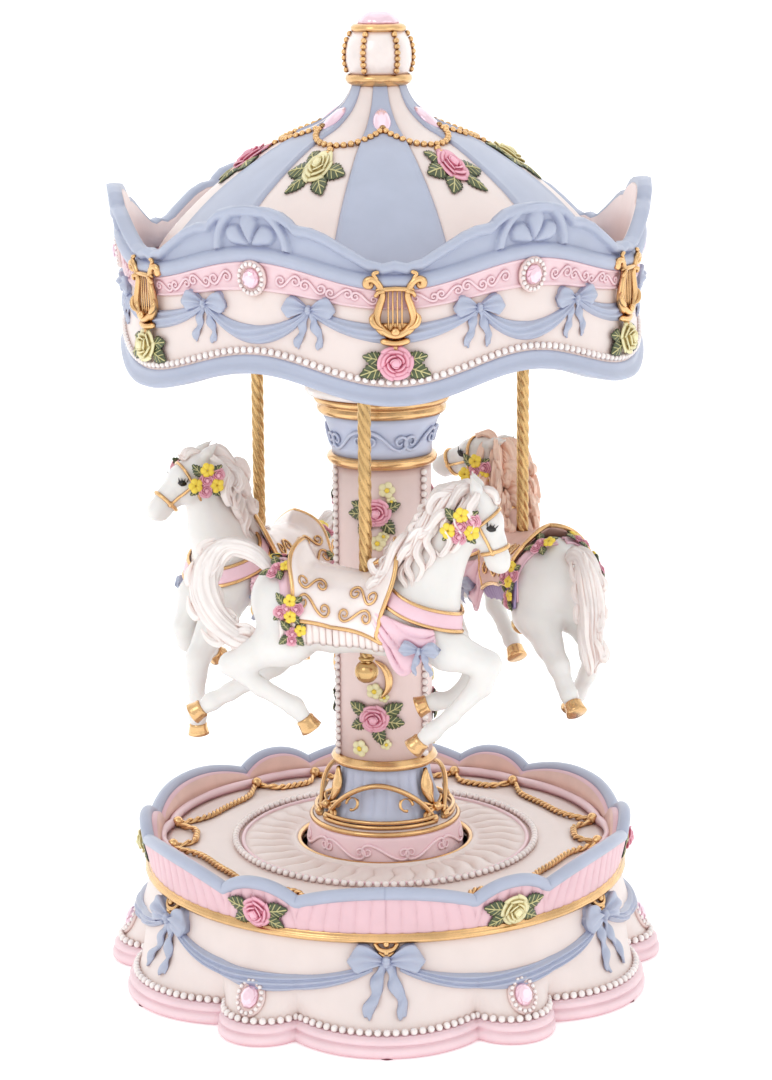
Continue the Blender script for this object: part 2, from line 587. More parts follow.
# the base: foot, skirt and its ornaments
baseValues = {"lobe": 85.6, "cusp": 76.5, "skirt": 72.5, "skirtFoot": 6.6, "skirtTop": 31.2, "pearlPitch": 2.6,
              "pearl": 1.12, "mean": 79.4, "bowWidth": 21.0, "bowHeight": 25.4, "drapeLow": 17.2, "medal": 5.3,
              "medalHeight": 12.6, "footInner": 62.0, "skirtInner": 66.0}
lobeArcs = ((-20.5, 0.0, 20.5), (20.5, 30.0, 39.5))


def footRadius(azimuth):
    a = (np.asarray(azimuth, float) + 20.5) % 60.0 - 20.5
    out = np.zeros_like(a)
    for start, mid, end in lobeArcs:
        half = math.radians((end - start) / 2)
        lobe, cusp = baseValues["lobe"], baseValues["cusp"]
        c = (lobe ** 2 - cusp ** 2) / (2 * (lobe - cusp * math.cos(half)))
        phi = np.radians(a - mid)
        r = c * np.cos(phi) + np.sqrt(np.maximum((lobe - c) ** 2 - (c * np.sin(phi)) ** 2, 0))
        out = np.where((a >= start) & (a <= end), r, out)
    return out


def skirtWall(azimuth, height, out=0.0):
    b = baseValues
    t = np.clip((b["skirtTop"] - np.asarray(height, float)) / (b["skirtTop"] - b["skirtFoot"]), 0, 1.15)
    r = b["skirt"] + (b["mean"] - b["skirt"]) * t ** 1.25 + (footRadius(azimuth) - 3.6 - b["mean"]) * t ** 3.2
    return polar(azimuth, r + out, height)


def buildBase():
    b, steps = baseValues, 480
    foot = [(-30, 0.0), (-1.4, 0.0), (-0.5, 0.3), (0, 1.0), (0, 2.3), (-0.3, 2.9), (-1.1, 3.3), (-1.2, 3.8),
            (-0.6, 4.2),
            (-0.6, 5.0), (-1.1, 5.6), (-1.9, 5.8), (-2.0, 6.2), (-4.6, 6.3), (-30, 6.2)]
    angles = roundAngles(steps)
    rows = [polar(angles, footRadius(angles) + off if off > -20 else b["footInner"], np.full(steps, z))
            for off, z in foot]
    makePiece("footMoulding", ringBag(rows), "base", "pink", ("base_shell",))
    top, bottom = b["skirtTop"] + 0.6, b["skirtFoot"] - 0.6
    rows = [skirtWall(angles, np.full(steps, z)) for z in np.linspace(top, bottom, 22)]
    rows += [polar(angles, b["skirtInner"], np.full(steps, z)) for z in (bottom, top)]
    makePiece("skirt", ringBag(rows), "base", "cream")
    dense = roundAngles(2000)
    line = polar(dense, footRadius(dense) - 2.9, np.full(2000, 7.15))
    bags = newBags("setting", "pearl", "gem")
    addBalls(bags["pearl"], evenly(line, b["pearlPitch"]), b["pearl"])
    for k in range(6):
        addMedallion(bags, skirtWall, 30 + 60 * k, b["medalHeight"], b["medal"])
    makePiece("footPearls", bags["pearl"], "base", "pearl")
    makePiece("baseMedallions", bags["setting"], "base", "blush")
    makePiece("baseStones", bags["gem"], "base", "gem", ("base_gems",), smooth=False)
    bows, clips, drapes = newBag(), newBag(), newBag()
    for k in range(6):
        for part, faces in bowParts(b["bowWidth"]):
            addTo(bows, layOn(skirtWall, part, 60 * k, b["bowHeight"], lift=-0.4), faces)
        for path, size in ((((-3.2, 0.6, 5.0), (-2.2, 1.2, 3.6), (0, 1.6, 3.1), (2.2, 1.2, 3.6), (3.2, 0.6, 5.0)),
                            0.75),
                           (((-1.9, 1.0, 2.4), (0, 1.4, 1.7), (1.9, 1.0, 2.4)), 0.6)):
            verts, faces = tube(roundOut(path, 4), size, 8)
            addTo(clips, layOn(skirtWall, verts, 60 * k, b["bowHeight"]), faces)
        for spot in ((0.0, 1.3, 5.1), (0.0, 1.5, 2.6)):
            addBalls(clips, layOn(skirtWall, [spot], 60 * k, b["bowHeight"]), 1.0)
    makePiece("baseBows", bows, "base", "blue")
    makePiece("baseClips", clips, "base", "gold")

    def folds(across, along):
        swell = np.sin(np.pi * np.clip(across, 0, 1)) ** 0.5 * 1.5
        waves = 0.42 * np.cos(2 * np.pi * (3.2 * across + 0.55 * np.sin(np.pi * along * 2)))
        return swell + waves * np.sin(np.pi * along) ** 0.3 + 0.10

    for k in range(6):
        def sag(a, middle=60 * k + 30):
            return 1 - np.abs((a - middle) / 27.0) ** 2.3

        def low(a):
            return 22.6 - (22.6 - b["drapeLow"] + 2.4) * sag(a)

        def high(a):
            return 24.9 - (24.9 - b["drapeLow"] - 2.6) * sag(a)

        addTo(drapes, *bandOn(skirtWall, np.linspace(60 * k + 3, 60 * k + 57, 90), low, high, folds, cols=25))
    makePiece("skirtDrapes", drapes, "base", "blue")


# the tray: gold rim, flared pink wall, blue rail, inner bands, roses
trayValues = {"wallLow": 33.2, "wallFoot": 72.7, "wallTop": 74.6, "railTube": 1.9, "railRadius": 73.3,
              "railCusp": 41.6, "railLobe": 46.0, "groove": 4.6, "inner": 68.4, "cord": 0.62, "cordTwist": 0.5,
              "cordAt": 38.95, "roseAt": 37.6, "roseSize": 4.3}


def lobeShare(azimuth):
    # degrees from the middle of the wide lobe, and how far towards the edge of its own lobe, -1 to 1
    a = (np.asarray(azimuth, float) + 20.5) % 60.0 - 20.5
    return a, np.where(a <= 20.5, a / 20.5, (a - 30) / 9.5)


def railRise(azimuth):
    # how far the rail has risen towards the middle of its lobe, 0 to 1
    return 1 - np.abs(lobeShare(azimuth)[1]) ** 2.2


def trayWall(azimuth, height, out=0.0):
    v = trayValues
    t = (np.asarray(height, float) - 33.0) / 10.0
    return polar(azimuth, v["wallFoot"] + (v["wallTop"] - v["wallFoot"]) * t + out, height)


def buildTray():
    v, steps = trayValues, 1800
    angles = roundAngles(steps)
    lift = railRise(angles)
    top = v["railCusp"] + (v["railLobe"] - v["railCusp"]) * lift
    rim = [(66.0, 30.4), (72.9, 30.4), (74.0, 30.9), (74.4, 31.6), (74.0, 32.3), (73.3, 32.7), (73.5, 33.2),
           (72.6, 33.7),
           (66.0, 33.7)]
    makePiece("rimMoulding", turnedBag(240, rim), "base", "gold", ("rim_band",))
    rows = []
    a, lean = lobeShare(angles)
    for t in np.linspace(0, 1, 18):
        cell = ((a * 1.29 / v["groove"] + lean * 0.75 * t ** 1.5) % 1.0) - 0.5
        groove = 0.62 * np.sqrt(np.maximum(0, 1 - (2 * cell) ** 2)) - 0.60
        groove *= np.sin(np.pi * np.clip(t, 0.05, 0.95)) ** 0.35
        r = v["wallFoot"] + (v["wallTop"] - v["wallFoot"]) * t + 0.35 + groove
        rows.append(polar(angles, r, v["wallLow"] + (top - v["wallLow"]) * t))
    for t in (1.0, 0.5, 0.0):
        height = 38.0 + (top - 38.0) * t if t else np.full(steps, v["wallLow"])
        rows.append(polar(angles, v["inner"] + 2.2 * t, height))
    makePiece("trayGadroons", ringBag(rows), "base", "rosy", ("tray_ring",))
    bag = newBag()
    addTo(bag, *tube(polar(angles, v["railRadius"] + 0.8 * lift, top)[::2], v["railTube"], 14, closed=True,
                     side=(0, 0, 1)))
    makePiece("blueRail", bag, "base", "blue", ("tray_rail",))
    band = ((67.4, 37.2), (66.6, 38.6), (66.2, 39.6), (66.6, 40.4), (67.6, 40.9), (68.5, 40.6), (68.5, 37.2))
    rows = [polar(angles, r + 1.6 * lift, np.full(steps, z)) for r, z in band]
    makePiece("innerBand", ringBag(rows), "base", "pink")
    floor = np.full(steps, 38.4)
    rows = [polar(angles, r, height) for r, height in ((68.4, floor), (70.4, top - 0.4), (71.6, top - 0.4),
                                                       (70.6, floor))]
    makePiece("innerWall", ringBag(rows), "base", "peach")
    gold = newBag()
    for k in range(6):
        for cusp in (-20.5, 20.5):
            addBalls(gold, [polar(60 * k + cusp, 66.0, 39.9)], 1.75)
    for k in range(6):
        for start, end, depth in ((-20.5, 20.5, 7.6), (20.5, 39.5, 7.0)):
            count = int((end - start) * 4)
            u = np.linspace(-1, 1, count)
            az = 60 * k + (start + end) / 2 + u * (end - start) / 2 * 0.95
            r = 65.6 - depth * (1 - np.abs(u) ** 4.0) ** 1.3
            for side in (0, 1):
                swing = np.linspace(0, np.pi * (end - start) / 2.2, count) + side * np.pi
                twisted = polar(az, r + np.cos(swing) * v["cordTwist"], v["cordAt"] + np.sin(swing) * v["cordTwist"])
                addTo(gold, *tube(twisted, v["cord"], 7))
    makePiece("deckCords", gold, "base", "gold")
    bags = newBags("leaf", "vein", "pink", "yellow")
    for k in range(6):
        sprig(bags, trayWall, 30 + 60 * k, v["roseAt"], 20 * k, v["roseSize"],
              ((168, 7.6), (12, 7.6), (205, 6.4), (-25, 6.4)), "pink" if k % 2 else "yellow", lift=0.2)
    makeRoses("tray", bags, "base", ("tray_roses",))


# the deck, with its ring of shell flutes
deckValues = {"hole": 26.6, "floor": 38.0, "under": 35.3, "flutes": 36, "fluteRise": 1.5, "pearls": 118,
              "pearlRing": 46.4, "pearl": 1.08}


def buildDeck():
    v, steps = deckValues, 1152
    angles = roundAngles(steps)
    radii = np.concatenate([[v["hole"]] * 2, np.linspace(26.8, 28.6, 5), np.linspace(29.0, 43.0, 30),
                            np.linspace(43.3, 44.6, 6), [46, 48, 50, 52, 54, 55, 56, 60, 66, 68.5, 68.5, v["hole"]]])
    rows = []
    for i, r in enumerate(radii):
        z = np.full(steps, v["floor"])
        if i == 0 or i > len(radii) - 3:
            z[:] = v["under"]
        elif r < 28.7:
            z += 0.9 * math.sin(math.pi * (r - v["hole"]) / 2.2)
        elif 29 <= r <= 43.05:
            t = (r - 29) / 14.0
            phase = v["flutes"] * np.radians(angles) + 2.3 * t ** 1.3 + 0.5 * np.sin(3 * np.pi * t)
            shell = np.abs(np.cos(phase / 2)) ** 0.65
            z += (v["fluteRise"] * shell - 0.35) * np.sqrt(max(0.0, math.sin(math.pi * min(1, max(0.02, t)))))
        elif 43.1 < r < 44.7:
            z += 0.55 * math.sin(math.pi * (r - 43.1) / 1.6)
        elif 54.5 < r < 56.5:
            z += 0.25
        rows.append(polar(angles, np.full(steps, r), z))
    makePiece("deckShells", ringBag(rows), "base", "cream", ("deck_plate",))
    groove = [(43.2, 37.8), (43.5, 38.7), (44.1, 38.95), (44.6, 38.6), (44.8, 37.8)]
    makePiece("deckGroove", turnedBag(240, groove), "base", "pink")
    bag = newBag()
    addBalls(bag, polar(roundAngles(v["pearls"]), v["pearlRing"], np.full(v["pearls"], v["floor"] + 0.9)), v["pearl"])
    makePiece("deckPearls", bag, "base", "pearl")
    edge = [(25.6, 37.0), (25.9, 38.5), (26.6, 39.0), (27.3, 38.6), (27.5, 37.2)]
    makePiece("deckEdge", turnedBag(200, edge), "base", "gold")


# the turntable drum, its cap and the fluted foot of the column
def drumWall(azimuth, height, out=0.0):
    t = (np.asarray(height, float) - 35.6) / 9.8
    return polar(azimuth, 24.0 - 1.2 * t + out, height)


def bellWall(azimuth, height, out=0.0):
    t = np.clip((np.asarray(height, float) - 47.2) / 17.0, 0, 1)
    r = np.interp(t, [0, 0.10, 0.25, 0.45, 0.7, 1.0], [18.9, 18.4, 16.8, 15.3, 14.3, 14.0])
    return polar(azimuth, r + out, height)


def shaftWall(azimuth, height, out=0.0):
    return polar(azimuth, 14.8 + out + 0 * np.asarray(height, float), height)


def capWall(azimuth, height, out=0.0):
    t = np.clip((np.asarray(height, float) - 159.5) / 14.0, 0, 1)
    return polar(azimuth, 15.1 + 3.4 * t ** 1.6 + out, height)


def addTubeOn(bag, surface, azimuth, height, path, size, sides=8, lift=0.0, turn=0.0, grow=1.0):
    verts, faces = tube(path, size * grow, sides, side=(0, 1, 0))
    addTo(bag, layOn(surface, verts, azimuth, height, lift=lift, turn=turn), faces)


def scrollBand(surface, height, tall, count, size, start=0.0):
    # a frieze of running scrolls round a wall
    bag = newBag()
    radius = float(np.hypot(*surface(np.array([0.0]), np.array([height]))[0][:2]))
    length = 2 * math.pi * radius / count
    for k in range(count):
        path = scrollPath(length * 1.12, tall, -1 if k % 2 else 1)
        grow = 0.55 + 0.45 * np.sin(np.linspace(0, math.pi, len(path)))
        addTubeOn(bag, surface, start + k * 360.0 / count, height, path, size, 8, lift=0.15, grow=grow)
    return bag


drumValues = {"scrolls": 11, "scrollSize": 0.50, "scrollAt": 40.6, "scrollTall": 5.0, "flutes": 24, "fluteDepth": 0.75,
              "bellFoot": 47.4, "bellTop": 64.2}


def buildDrum():
    v, steps = drumValues, 216
    wall = [(14, 35.4), (24.0, 35.4), (24.2, 36.2), (23.9, 36.9), (23.7, 38.2), (23.1, 43.2), (23.2, 44.4),
            (22.9, 45.4),
            (14, 45.4)]
    makePiece("drumWall", turnedBag(200, wall), "rotor", "drumPink", ("turntable_drum",))
    scrolls = scrollBand(drumWall, v["scrollAt"], v["scrollTall"], v["scrolls"], v["scrollSize"])
    makePiece("drumScrolls", scrolls, "rotor", "drumPink")
    top = [(13, 45.2), (22.4, 45.2), (22.8, 45.9), (22.3, 46.7), (21.2, 47.3), (19.4, 47.7), (13, 47.7)]
    makePiece("drumTop", turnedBag(200, top), "rotor", "cream", ("drum_cap",))
    rings = turnedBag(200, [(22.3, 45.0), (23.2, 45.5), (23.4, 46.2), (22.9, 46.9), (22.0, 46.8)])
    for ring in ([(14.2, 63.6), (15.8, 63.9), (16.4, 64.8), (16.0, 65.7), (15.2, 66.2), (15.0, 66.9), (14.2, 67.0)],
                 [(14.2, 156.6), (15.6, 157.0), (16.4, 158.0), (16.7, 158.9), (16.2, 159.8), (15.0, 160.2),
                  (14.2, 160.2)],
                 [(12, 172.4), (18.6, 172.4), (19.4, 173.2), (19.5, 174.2), (18.9, 174.9), (19.0, 175.5), (20.2, 176.0),
                  (20.6, 177.0), (20.1, 178.0), (12, 178.4)]):
        addTo(rings, *turnedPart(ring))
    makePiece("columnRings", rings, "rotor", "gold", ("column_rings",))
    angles = roundAngles(steps)
    rows = [polar(angles, 13.0, np.full(steps, v["bellFoot"]))]
    for z in np.linspace(v["bellFoot"], v["bellTop"], 20):
        t = (z - v["bellFoot"]) / 16.8
        ridge = np.abs(np.cos(np.radians(angles + 6) * v["flutes"] / 2)) ** 0.7
        flute = v["fluteDepth"] * ridge * math.sin(math.pi * min(0.97, max(0.05, t))) ** 0.5
        base = float(np.hypot(*bellWall(np.array([0.0]), np.array([z]))[0][:2]))
        rows.append(polar(angles, base - 0.5 + flute, np.full(steps, z)))
    rows.append(polar(angles, 13.0, np.full(steps, v["bellTop"])))
    makePiece("columnBell", ringBag(rows), "rotor", "bellBlue", ("column_base",))


def buildFrames():
    # three gilt shields round the drum's cap, with a bow and a leaf between them
    gold = newBag()
    u = np.linspace(-1, 1, 49)
    for k in range(3):
        mid = panelTurn + 120 * k
        for foot, reach, size, lean, share in ((47.6, 54, 0.8, 0.0, 1.0), (49.6, 51, 0.55, 0.4, 0.86)):
            rise = 12.5 * (1 - np.abs(u) ** 1.8) ** 0.75
            r = 20.6 - lean - 0.20 * rise
            addTo(gold, *tube(polar(mid + u * reach, r, foot + rise * share), size, 8, side=(0, 0, 1)))
        for foot, size in ((47.9, 0.8), (49.4, 0.62)):
            addTo(gold, *tube(polar(mid + u * 53, 21.2, np.full(49, foot)), size, 8, side=(0, 0, 1)))
        for side in (-1, 1):
            addBalls(gold, [polar(mid + side * 52, 21.0, 48.6)], 1.3)
            curl = [(side * (8.6 + 2.0 * math.cos(a)), 0.9, 5.2 + 2.0 * math.sin(a)) for a in np.linspace(0, 4.6, 14)]
            addTubeOn(gold, bellWall, mid, 47.6, curl, 0.5, 7, lift=2.0)
        spot = mid + 60
        for side in (-1, 1):
            for rise in (-1, 1):
                loop = roundOut([(0, 0.6, 0), (side * 3.4, 1.2, rise * 1.3 + 0.5), (side * 5.2, 1.0, rise * 2.3),
                                 (side * 4.8, 0.7, rise * 0.9), (side * 2.4, 0.7, rise * 0.3), (0, 0.6, 0)], 4)
                addTubeOn(gold, bellWall, spot, 50.2, loop, 0.55, 7, lift=1.2)
        addBalls(gold, layOn(bellWall, [(0, 1.2, 0)], spot, 50.2, lift=1.2), 1.5)
        t, v = np.linspace(0, 1, 13)[:, None], np.linspace(-1, 1, 7)[None, :]
        half = 3.0 * np.sin(np.pi * np.clip(t, 0.02, 0.985)) ** 0.9
        sheet = np.stack([half * v, 1.3 - 0.9 * np.abs(v) ** 1.4 + 0.5 * np.sin(np.pi * t), 11.5 * t + 0 * v], -1)
        verts, faces = thickSheet(sheet, 0.7)
        addTo(gold, layOn(bellWall, verts, spot, 51.4, lift=0.4), faces)
        addTubeOn(gold, bellWall, spot, 51.4, [(0, 1.9, 0), (0, 2.2, 4), (0, 1.8, 9)], 0.4, 6)
    makePiece("giltShields", gold, "rotor", "gold", ("base_frames",))


shaftValues = {"radius": 14.8, "foot": 64.5, "top": 158.0, "pearl": 1.1, "pearlPitch": 2.24, "roseSize": 3.9,
               "roses": ((-1, 144.3, ((185, 6.2), (160, 5.6), (232, 6.0), (-52, 6.0), (20, 5.0))),
                         (-5, 80.6, ((28, 7.0), (-12, 6.6), (150, 6.4), (-75, 6.0), (205, 5.6)))),
               "blossoms": ((11, 151, 2.2), (0, 134.9, 2.2), (7, 137.0, 1.5), (16, 147.5, 1.4), (-5, 89.1, 2.2),
                            (-23, 70.7, 2.3), (8, 72.4, 1.5), (6, 87.2, 1.4))}


def buildShaft():
    v = shaftValues
    sleeve = [(12.5, v["foot"]), (v["radius"], v["foot"]), (v["radius"], 90), (v["radius"], 120),
              (v["radius"], v["top"]), (12.5, v["top"])]
    makePiece("columnSleeve", turnedBag(160, sleeve), "rotor", "blush", ("column_shaft",))
    pearls, gold = newBag(), newBag()
    for k in range(3):
        heights = np.arange(67.9, 156.4, v["pearlPitch"])
        addBalls(pearls, shaftWall(np.full(len(heights), panelTurn + 60 + 120 * k), heights, 0.5), v["pearl"])
    makePiece("columnPearls", pearls, "rotor", "pearl")
    for k in range(3):
        mid = panelTurn + 120 * k
        crescent = roundOut([(-0.8, 0.5, 5.6), (1.6, 0.9, 3.6), (2.9, 1.0, 0.4), (2.6, 0.9, -3.2), (0.6, 0.5, -6.0)], 5)
        grow = np.sin(np.linspace(0.05, 1, len(crescent)) * math.pi * 0.97) ** 0.7
        addTubeOn(gold, shaftWall, mid, 93.0, crescent, 1.15, 8, grow=np.maximum(grow, 0.2), lift=0.1)
        scroll = roundOut([(-3.6, 0.5, 1.4), (-4.4, 0.7, -0.2), (-3.0, 0.8, -1.4), (-0.8, 0.9, -0.4), (1.4, 0.9, 1.0),
                           (3.6, 0.8, 1.2), (4.4, 0.6, -0.4), (3.2, 0.5, -1.2)], 5)
        grow = 0.55 + 0.45 * np.sin(np.linspace(0, 1, len(scroll)) * math.pi)
        addTubeOn(gold, shaftWall, mid + 4, 129.7, scroll, 0.85, 8, grow=grow, lift=0.1)
    bags = newBags("leaf", "vein", "pink", "blossom", "heart")
    for k in range(3):
        mid = panelTurn + 120 * k
        for shift, z, leaves in v["roses"]:
            sprig(bags, shaftWall, mid + shift, z, 30 * k, v["roseSize"], leaves, "pink")
        for shift, z, size in v["blossoms"]:
            for n in range(5):
                a = 2 * math.pi * n / 5 + k
                petal = (pearlVerts * np.array((0.56, 0.34, 0.56)) * size
                         + np.array((0.62 * size * math.cos(a), 0.4, 0.62 * size * math.sin(a))))
                addTo(bags["blossom"], layOn(shaftWall, petal, mid + shift, z), pearlFaces)
            addBalls(bags["heart"], layOn(shaftWall, [(0, 0.75, 0)], mid + shift, z), size * 0.36)
    for name, bag, finish in (("shaftCrescents", gold, "gold"), ("shaftLeaves", bags["leaf"], "leaf"),
                              ("shaftLeafVeins", bags["vein"], "vein"), ("shaftRoses", bags["pink"], "rosePink"),
                              ("shaftBlossoms", bags["blossom"], "roseYellow"),
                              ("shaftBlossomHearts", bags["heart"], "sunYellow")):
        makePiece(name, bag, "rotor", finish)


capitalValues = {"scrolls": 8, "scrollSize": 0.52, "scrollAt": 165.6, "scrollTall": 6.4}


def buildCapital():
    v = capitalValues
    cup = [(12.5, 159.6), (15.0, 159.6), (15.2, 163), (15.9, 167), (16.9, 170), (18.2, 172.6), (12.5, 172.6)]
    makePiece("capitalCup", turnedBag(160, cup), "rotor", "bellBlue", ("capital",))
    scrolls = scrollBand(capWall, v["scrollAt"], v["scrollTall"], v["scrolls"], v["scrollSize"], start=4)
    makePiece("capitalScrolls", scrolls, "rotor", "bellBlue")
    disc = [(8, 178.0), (20.8, 178.0), (22.6, 178.4), (23.1, 179.4), (22.8, 180.6), (21.4, 181.3), (12.5, 181.8),
            (12, 195.2), (8, 195.2)]
    makePiece("hubDisc", turnedBag(160, disc), "rotor", "pearl", ("hub_flange",))


for build in (buildBase, buildTray, buildDeck, buildDrum, buildFrames, buildShaft, buildCapital):
    build()
print("base and column built")


# the canopy's wall, its mouldings, lyres, bows and swags
canopyValues = {"wall": 75.3, "corner": 1.9, "foot": 2.0, "crestFlare": 3.2, "lowMid": 194.8,
                "lowCorner": 7.5, "bowWidth": 14.8, "bowHeight": 213.4, "bowShift": 17.6, "lyreHeight": 214.6,
                "roseHeight": 199.2, "roseSize": 4.4, "gemHeight": 221.6, "gemSize": 5.0}


def fromMid(azimuth):
    # degrees from the nearest mid-side of the canopy, -30 to 30
    return (np.asarray(azimuth, float) - canopyTwist) % 60.0 - 30.0


def cornerness(azimuth):
    return (1 - np.cos(np.pi * np.abs(fromMid(azimuth)) / 30.0)) / 2


def eaveLine(azimuth):
    return canopyValues["lowMid"] - canopyValues["lowCorner"] * cornerness(azimuth)


def pinkTop(azimuth):
    return 225.8 - 7.0 * cornerness(azimuth)


def pinkLow(azimuth):
    return 218.2 - 4.3 * cornerness(azimuth)


def crestLine(azimuth):
    m = np.abs(fromMid(azimuth))
    return np.interp(m, [0, 4, 7, 9, 9.7, 10.5, 13, 16, 20, 24.5, 27.5, 30],
                     [241.2, 240.8, 239.6, 237.6, 236.4, 236.0, 235.6, 234.0, 230.8, 227.2, 226.0, 226.8])


def canopyWall(azimuth, height, out=0.0):
    c = canopyValues
    z = np.asarray(height, float)
    low = np.clip((206 - z) / 18.0, 0, 1)
    high = np.clip((z - 216) / 24.0, 0, 1.1)
    r = c["wall"] + c["corner"] * cornerness(azimuth) + c["foot"] * low ** 1.6 + c["crestFlare"] * high ** 1.4
    return polar(azimuth, r + out, z)


def buildCanopyWall():
    angles = roundAngles(720)
    low, high = eaveLine(angles) + 0.6, pinkLow(angles) + 0.8
    rows = [canopyWall(angles, low + (high - low) * t) for t in np.linspace(0, 1, 16)]
    rows += [polar(angles, 72.2, low + (high - low) * t) for t in np.linspace(1, 0, 5)]
    makePiece("canopyWall", ringBag(rows), "rotor", "cream")
    # the lower blue moulding, hollowed and rolled at its edge
    outline = ((-5.0, 0.2), (-0.4, 0.0), (0.9, 0.5), (1.2, 1.3), (0.8, 2.1), (0.35, 2.7), (0.3, 3.6), (0.55, 4.4),
               (0.35, 5.1), (-0.4, 5.5), (-5.0, 5.5))
    rows = []
    for off, z in outline:
        height = eaveLine(angles) + z
        rows.append(polar(angles, 72.0, height) if off < -4 else canopyWall(angles, height, off))
    makePiece("canopyFootBand", ringBag(rows), "rotor", "blue")
    bag, dense = newBag(), np.arange(2880) * 0.125
    addBalls(bag, evenly(canopyWall(dense, eaveLine(dense) + 6.7, 0.35), 2.16), 1.0)
    makePiece("canopyPearls", bag, "rotor", "pearl")
    outline = ((-2.4, -0.04), (0.5, -0.03), (0.95, 0.02), (0.75, 0.09), (0.42, 0.13), (0.35, 0.5), (0.42, 0.87),
               (0.8, 0.92), (0.9, 0.99), (0.4, 1.04), (-2.4, 1.04))
    low, high = pinkLow(angles), pinkTop(angles)
    rows = [canopyWall(angles, low + (high - low) * t, off) for off, t in outline]
    makePiece("pinkFrieze", ringBag(rows), "rotor", "pink")
    bag = newBag()
    for k in range(6):
        for side in (-1, 1):
            for n, shift in enumerate((8.0, 13.4, 18.8, 24.0)):
                az = 30 + canopyTwist + 60 * k + side * shift
                path = scrollPath(7.4, 3.9 - 0.3 * n, 1 if n % 2 else -1)
                grow = 0.6 + 0.4 * np.sin(np.linspace(0, math.pi, len(path)))
                addTubeOn(bag, canopyWall, az, float((pinkLow(az) + pinkTop(az)) / 2), path, 0.42, 7, lift=0.55,
                          grow=grow, turn=math.degrees(-side * 0.10))
    makePiece("friezeScrolls", bag, "rotor", "pink")


def buildCrest():
    # the pierced-looking blue crest: a moulded rail, recessed side panels and a fan of petals in the middle
    cols, panel = 46, -0.35
    angles = roundAngles(1440)
    top, low = crestLine(angles), pinkTop(angles) + 0.1
    x, m = fromMid(angles) * 1.36, np.abs(fromMid(angles))
    rows = []
    for i in range(cols):
        height = low + (top - low) * (i / (cols - 1))
        drop, z = top - height, height - (low + 4.4)
        rail = np.clip((height - low) / 4.2, 0, 1)
        relief = np.where(z < -0.2, 2.0 * np.sin(np.pi * (0.12 + 0.86 * rail)) ** 0.8, panel)
        rim = 2.0 * np.sqrt(np.maximum(0, 1 - ((drop - 1.3) / 1.5) ** 2))
        arch = 2.0 * np.sqrt(np.maximum(0, 1 - ((np.hypot(x, z) - 10.7) / 1.4) ** 2)) * (m < 12) * (z > 0)
        relief = np.where(z > -0.2, np.maximum(rim * (top - low > 6.0), arch) + panel, relief)
        for lean, length, half in ((0, 9.2, 3.1), (-56, 8.6, 3.0), (56, 8.6, 3.0)):
            c, d = math.cos(math.radians(lean)), math.sin(math.radians(lean))
            p, q = x * d + z * c, x * c - z * d
            wide = half * np.clip(p / length + 0.25, 0.3, 1.0)
            swell = np.maximum(0, 1 - ((p - 0.54 * length) / (0.50 * length)) ** 2 - (q / wide) ** 2)
            relief = np.maximum(relief, 2.5 * np.sqrt(swell) + panel)
        rows.append(canopyWall(angles, height, relief))
    outer = rows[-1]
    rows.append(polar(angles, np.hypot(outer[:, 0], outer[:, 1]) - 1.0, outer[:, 2] + 0.3))
    rows += [canopyWall(angles, low + (top - low) * t, -2.6) for t in np.linspace(1, 0, 6)]
    makePiece("blueCrest", ringBag(rows), "rotor", "blue", ("cornice",))
    lining = ((-2.4, 0.94), (-3.1, 0.9), (-3.2, 0.5), (-3.2, 0.1), (-2.4, 0.06))
    rows = [canopyWall(angles, 218 + (top - 218) * t, off) for off, t in lining]
    makePiece("crestLining", ringBag(rows), "rotor", "blush")


